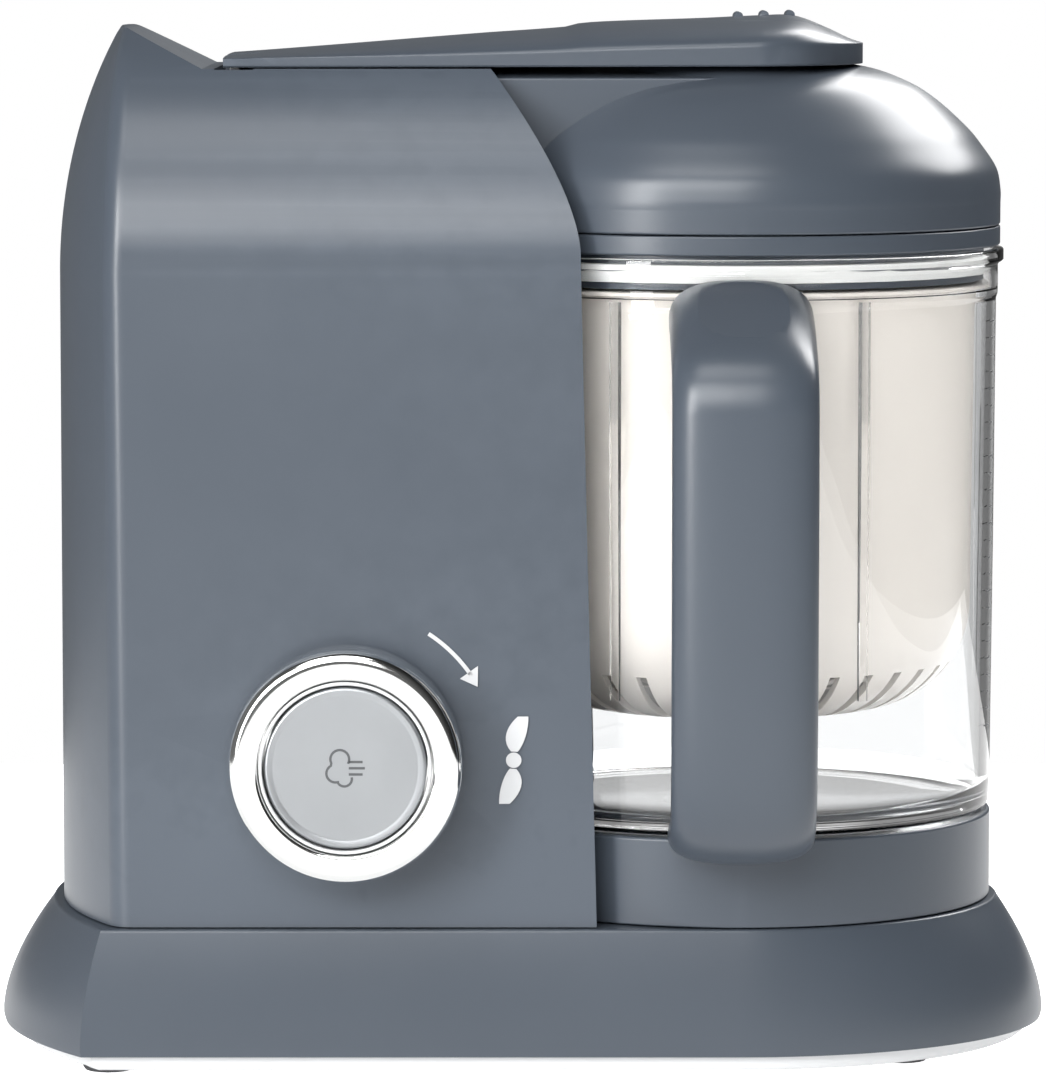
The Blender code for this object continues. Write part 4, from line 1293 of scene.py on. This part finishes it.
def camera(lens):
    """Slightly above the object, a little downhill, far enough to keep it straight."""
    data = bpy.data.cameras.new("camera")
    data.lens = lens
    data.sensor_width = 36.0
    data.clip_end = 20.0
    made = linked("camera", data)
    made.location = (0.0, JUG_Y - CAMERA_AWAY, CAMERA_HEIGHT)
    made.rotation_euler = (radians(90 - CAMERA_TILT), 0.0, 0.0)
    bpy.context.scene.camera = made


# ---------------------------------------------------------------- operators

class MAKER_OT_stage(bpy.types.Operator):
    """Builds the floor, the lights, the surroundings and the camera"""
    bl_idname = "maker.stage"
    bl_label = "Stage"

    def execute(self, context):
        stage = context.scene.maker_stage
        floor()
        surroundings(stage.sky)
        for name, place, aim, size, power in LIGHTS:
            area_light(name, place, aim, size, getattr(stage, power))
        camera(stage.lens)
        context.scene.view_settings.view_transform = "Standard"
        return {"FINISHED"}


class MAKER_OT_base(bpy.types.Operator):
    """Builds the base housing and the silver strip under it"""
    bl_idname = "maker.base"
    bl_label = "Base"

    def execute(self, context):
        base_housing()
        bottom_cover()
        return {"FINISHED"}


class MAKER_OT_tower(bpy.types.Operator):
    """Builds the front and rear shells and the deck with the filler mouth"""
    bl_idname = "maker.tower"
    bl_label = "Tower"

    def execute(self, context):
        tower_shells()
        top_deck()
        return {"FINISHED"}


class MAKER_OT_arm(bpy.types.Operator):
    """Builds the locking arm and its thumb button"""
    bl_idname = "maker.arm"
    bl_label = "Arm"

    def execute(self, context):
        arm()
        release_button()
        return {"FINISHED"}


class MAKER_OT_lid(bpy.types.Operator):
    """Builds the domed lid and its collar"""
    bl_idname = "maker.lid"
    bl_label = "Lid"

    def execute(self, context):
        lid()
        return {"FINISHED"}


class MAKER_OT_jug(bpy.types.Operator):
    """Builds the clear jug, its collar, its grip and its measuring ticks"""
    bl_idname = "maker.jug"
    bl_label = "Jug"

    def execute(self, context):
        jug_wall()
        scale_marks()
        jug_collar()
        handle()
        return {"FINISHED"}


class MAKER_OT_basket(bpy.types.Operator):
    """Builds the steam basket and the cutting blade under it"""
    bl_idname = "maker.basket"
    bl_label = "Basket and blade"

    def execute(self, context):
        basket()
        blade()
        return {"FINISHED"}


class MAKER_OT_controls(bpy.types.Operator):
    """Builds the plated knob, the light guide, the steam disc and the printed signs"""
    bl_idname = "maker.controls"
    bl_label = "Controls"

    def execute(self, context):
        knob()
        turn_arrow()
        blade_sign()
        steam_sign()
        return {"FINISHED"}


class MAKER_OT_works(bpy.types.Operator):
    """Finishes the feet, fasteners, drive, boiler and other inner pieces"""
    bl_idname = "maker.works"
    bl_label = "Works"

    def execute(self, context):
        for body, slot, material, nodes in WORKS:
            for node in nodes.split():
                made = refined(node, body, slot, material())
                if node == "button_spring":
                    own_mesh(made)
        return {"FINISHED"}


class MAKER_PT_panel(bpy.types.Panel):
    """Lists the build steps in the sidebar"""
    bl_idname = "MAKER_PT_panel"
    bl_label = "Baby food maker"
    bl_space_type = "VIEW_3D"
    bl_region_type = "UI"
    bl_category = "Food maker"

    def draw(self, context):
        for group in SETTINGS:
            settings = getattr(context.scene, group)
            for name in settings.bl_rna.properties.keys():
                if name not in ("rna_type", "name"):
                    self.layout.prop(settings, name)
        for step in STEPS:
            self.layout.operator(step.bl_idname)


STEPS = (MAKER_OT_stage, MAKER_OT_base, MAKER_OT_tower, MAKER_OT_arm, MAKER_OT_lid, MAKER_OT_jug,
         MAKER_OT_basket, MAKER_OT_controls, MAKER_OT_works)
SETTINGS = {"maker_shell": ShellSettings, "maker_jug": JugSettings, "maker_controls": ControlSettings,
            "maker_stage": StageSettings}


def register():
    for settings in SETTINGS.values():
        bpy.utils.register_class(settings)
    for name, settings in SETTINGS.items():
        setattr(bpy.types.Scene, name, bpy.props.PointerProperty(type=settings))
    for step in STEPS:
        bpy.utils.register_class(step)
    bpy.utils.register_class(MAKER_PT_panel)


def unregister():
    bpy.utils.unregister_class(MAKER_PT_panel)
    for step in reversed(STEPS):
        bpy.utils.unregister_class(step)
    for name, settings in SETTINGS.items():
        delattr(bpy.types.Scene, name)
        bpy.utils.unregister_class(settings)


def main():
    register()
    for step in STEPS:
        group, name = step.bl_idname.split(".")
        getattr(getattr(bpy.ops, group), name)()


if __name__ == "__main__":
    main()
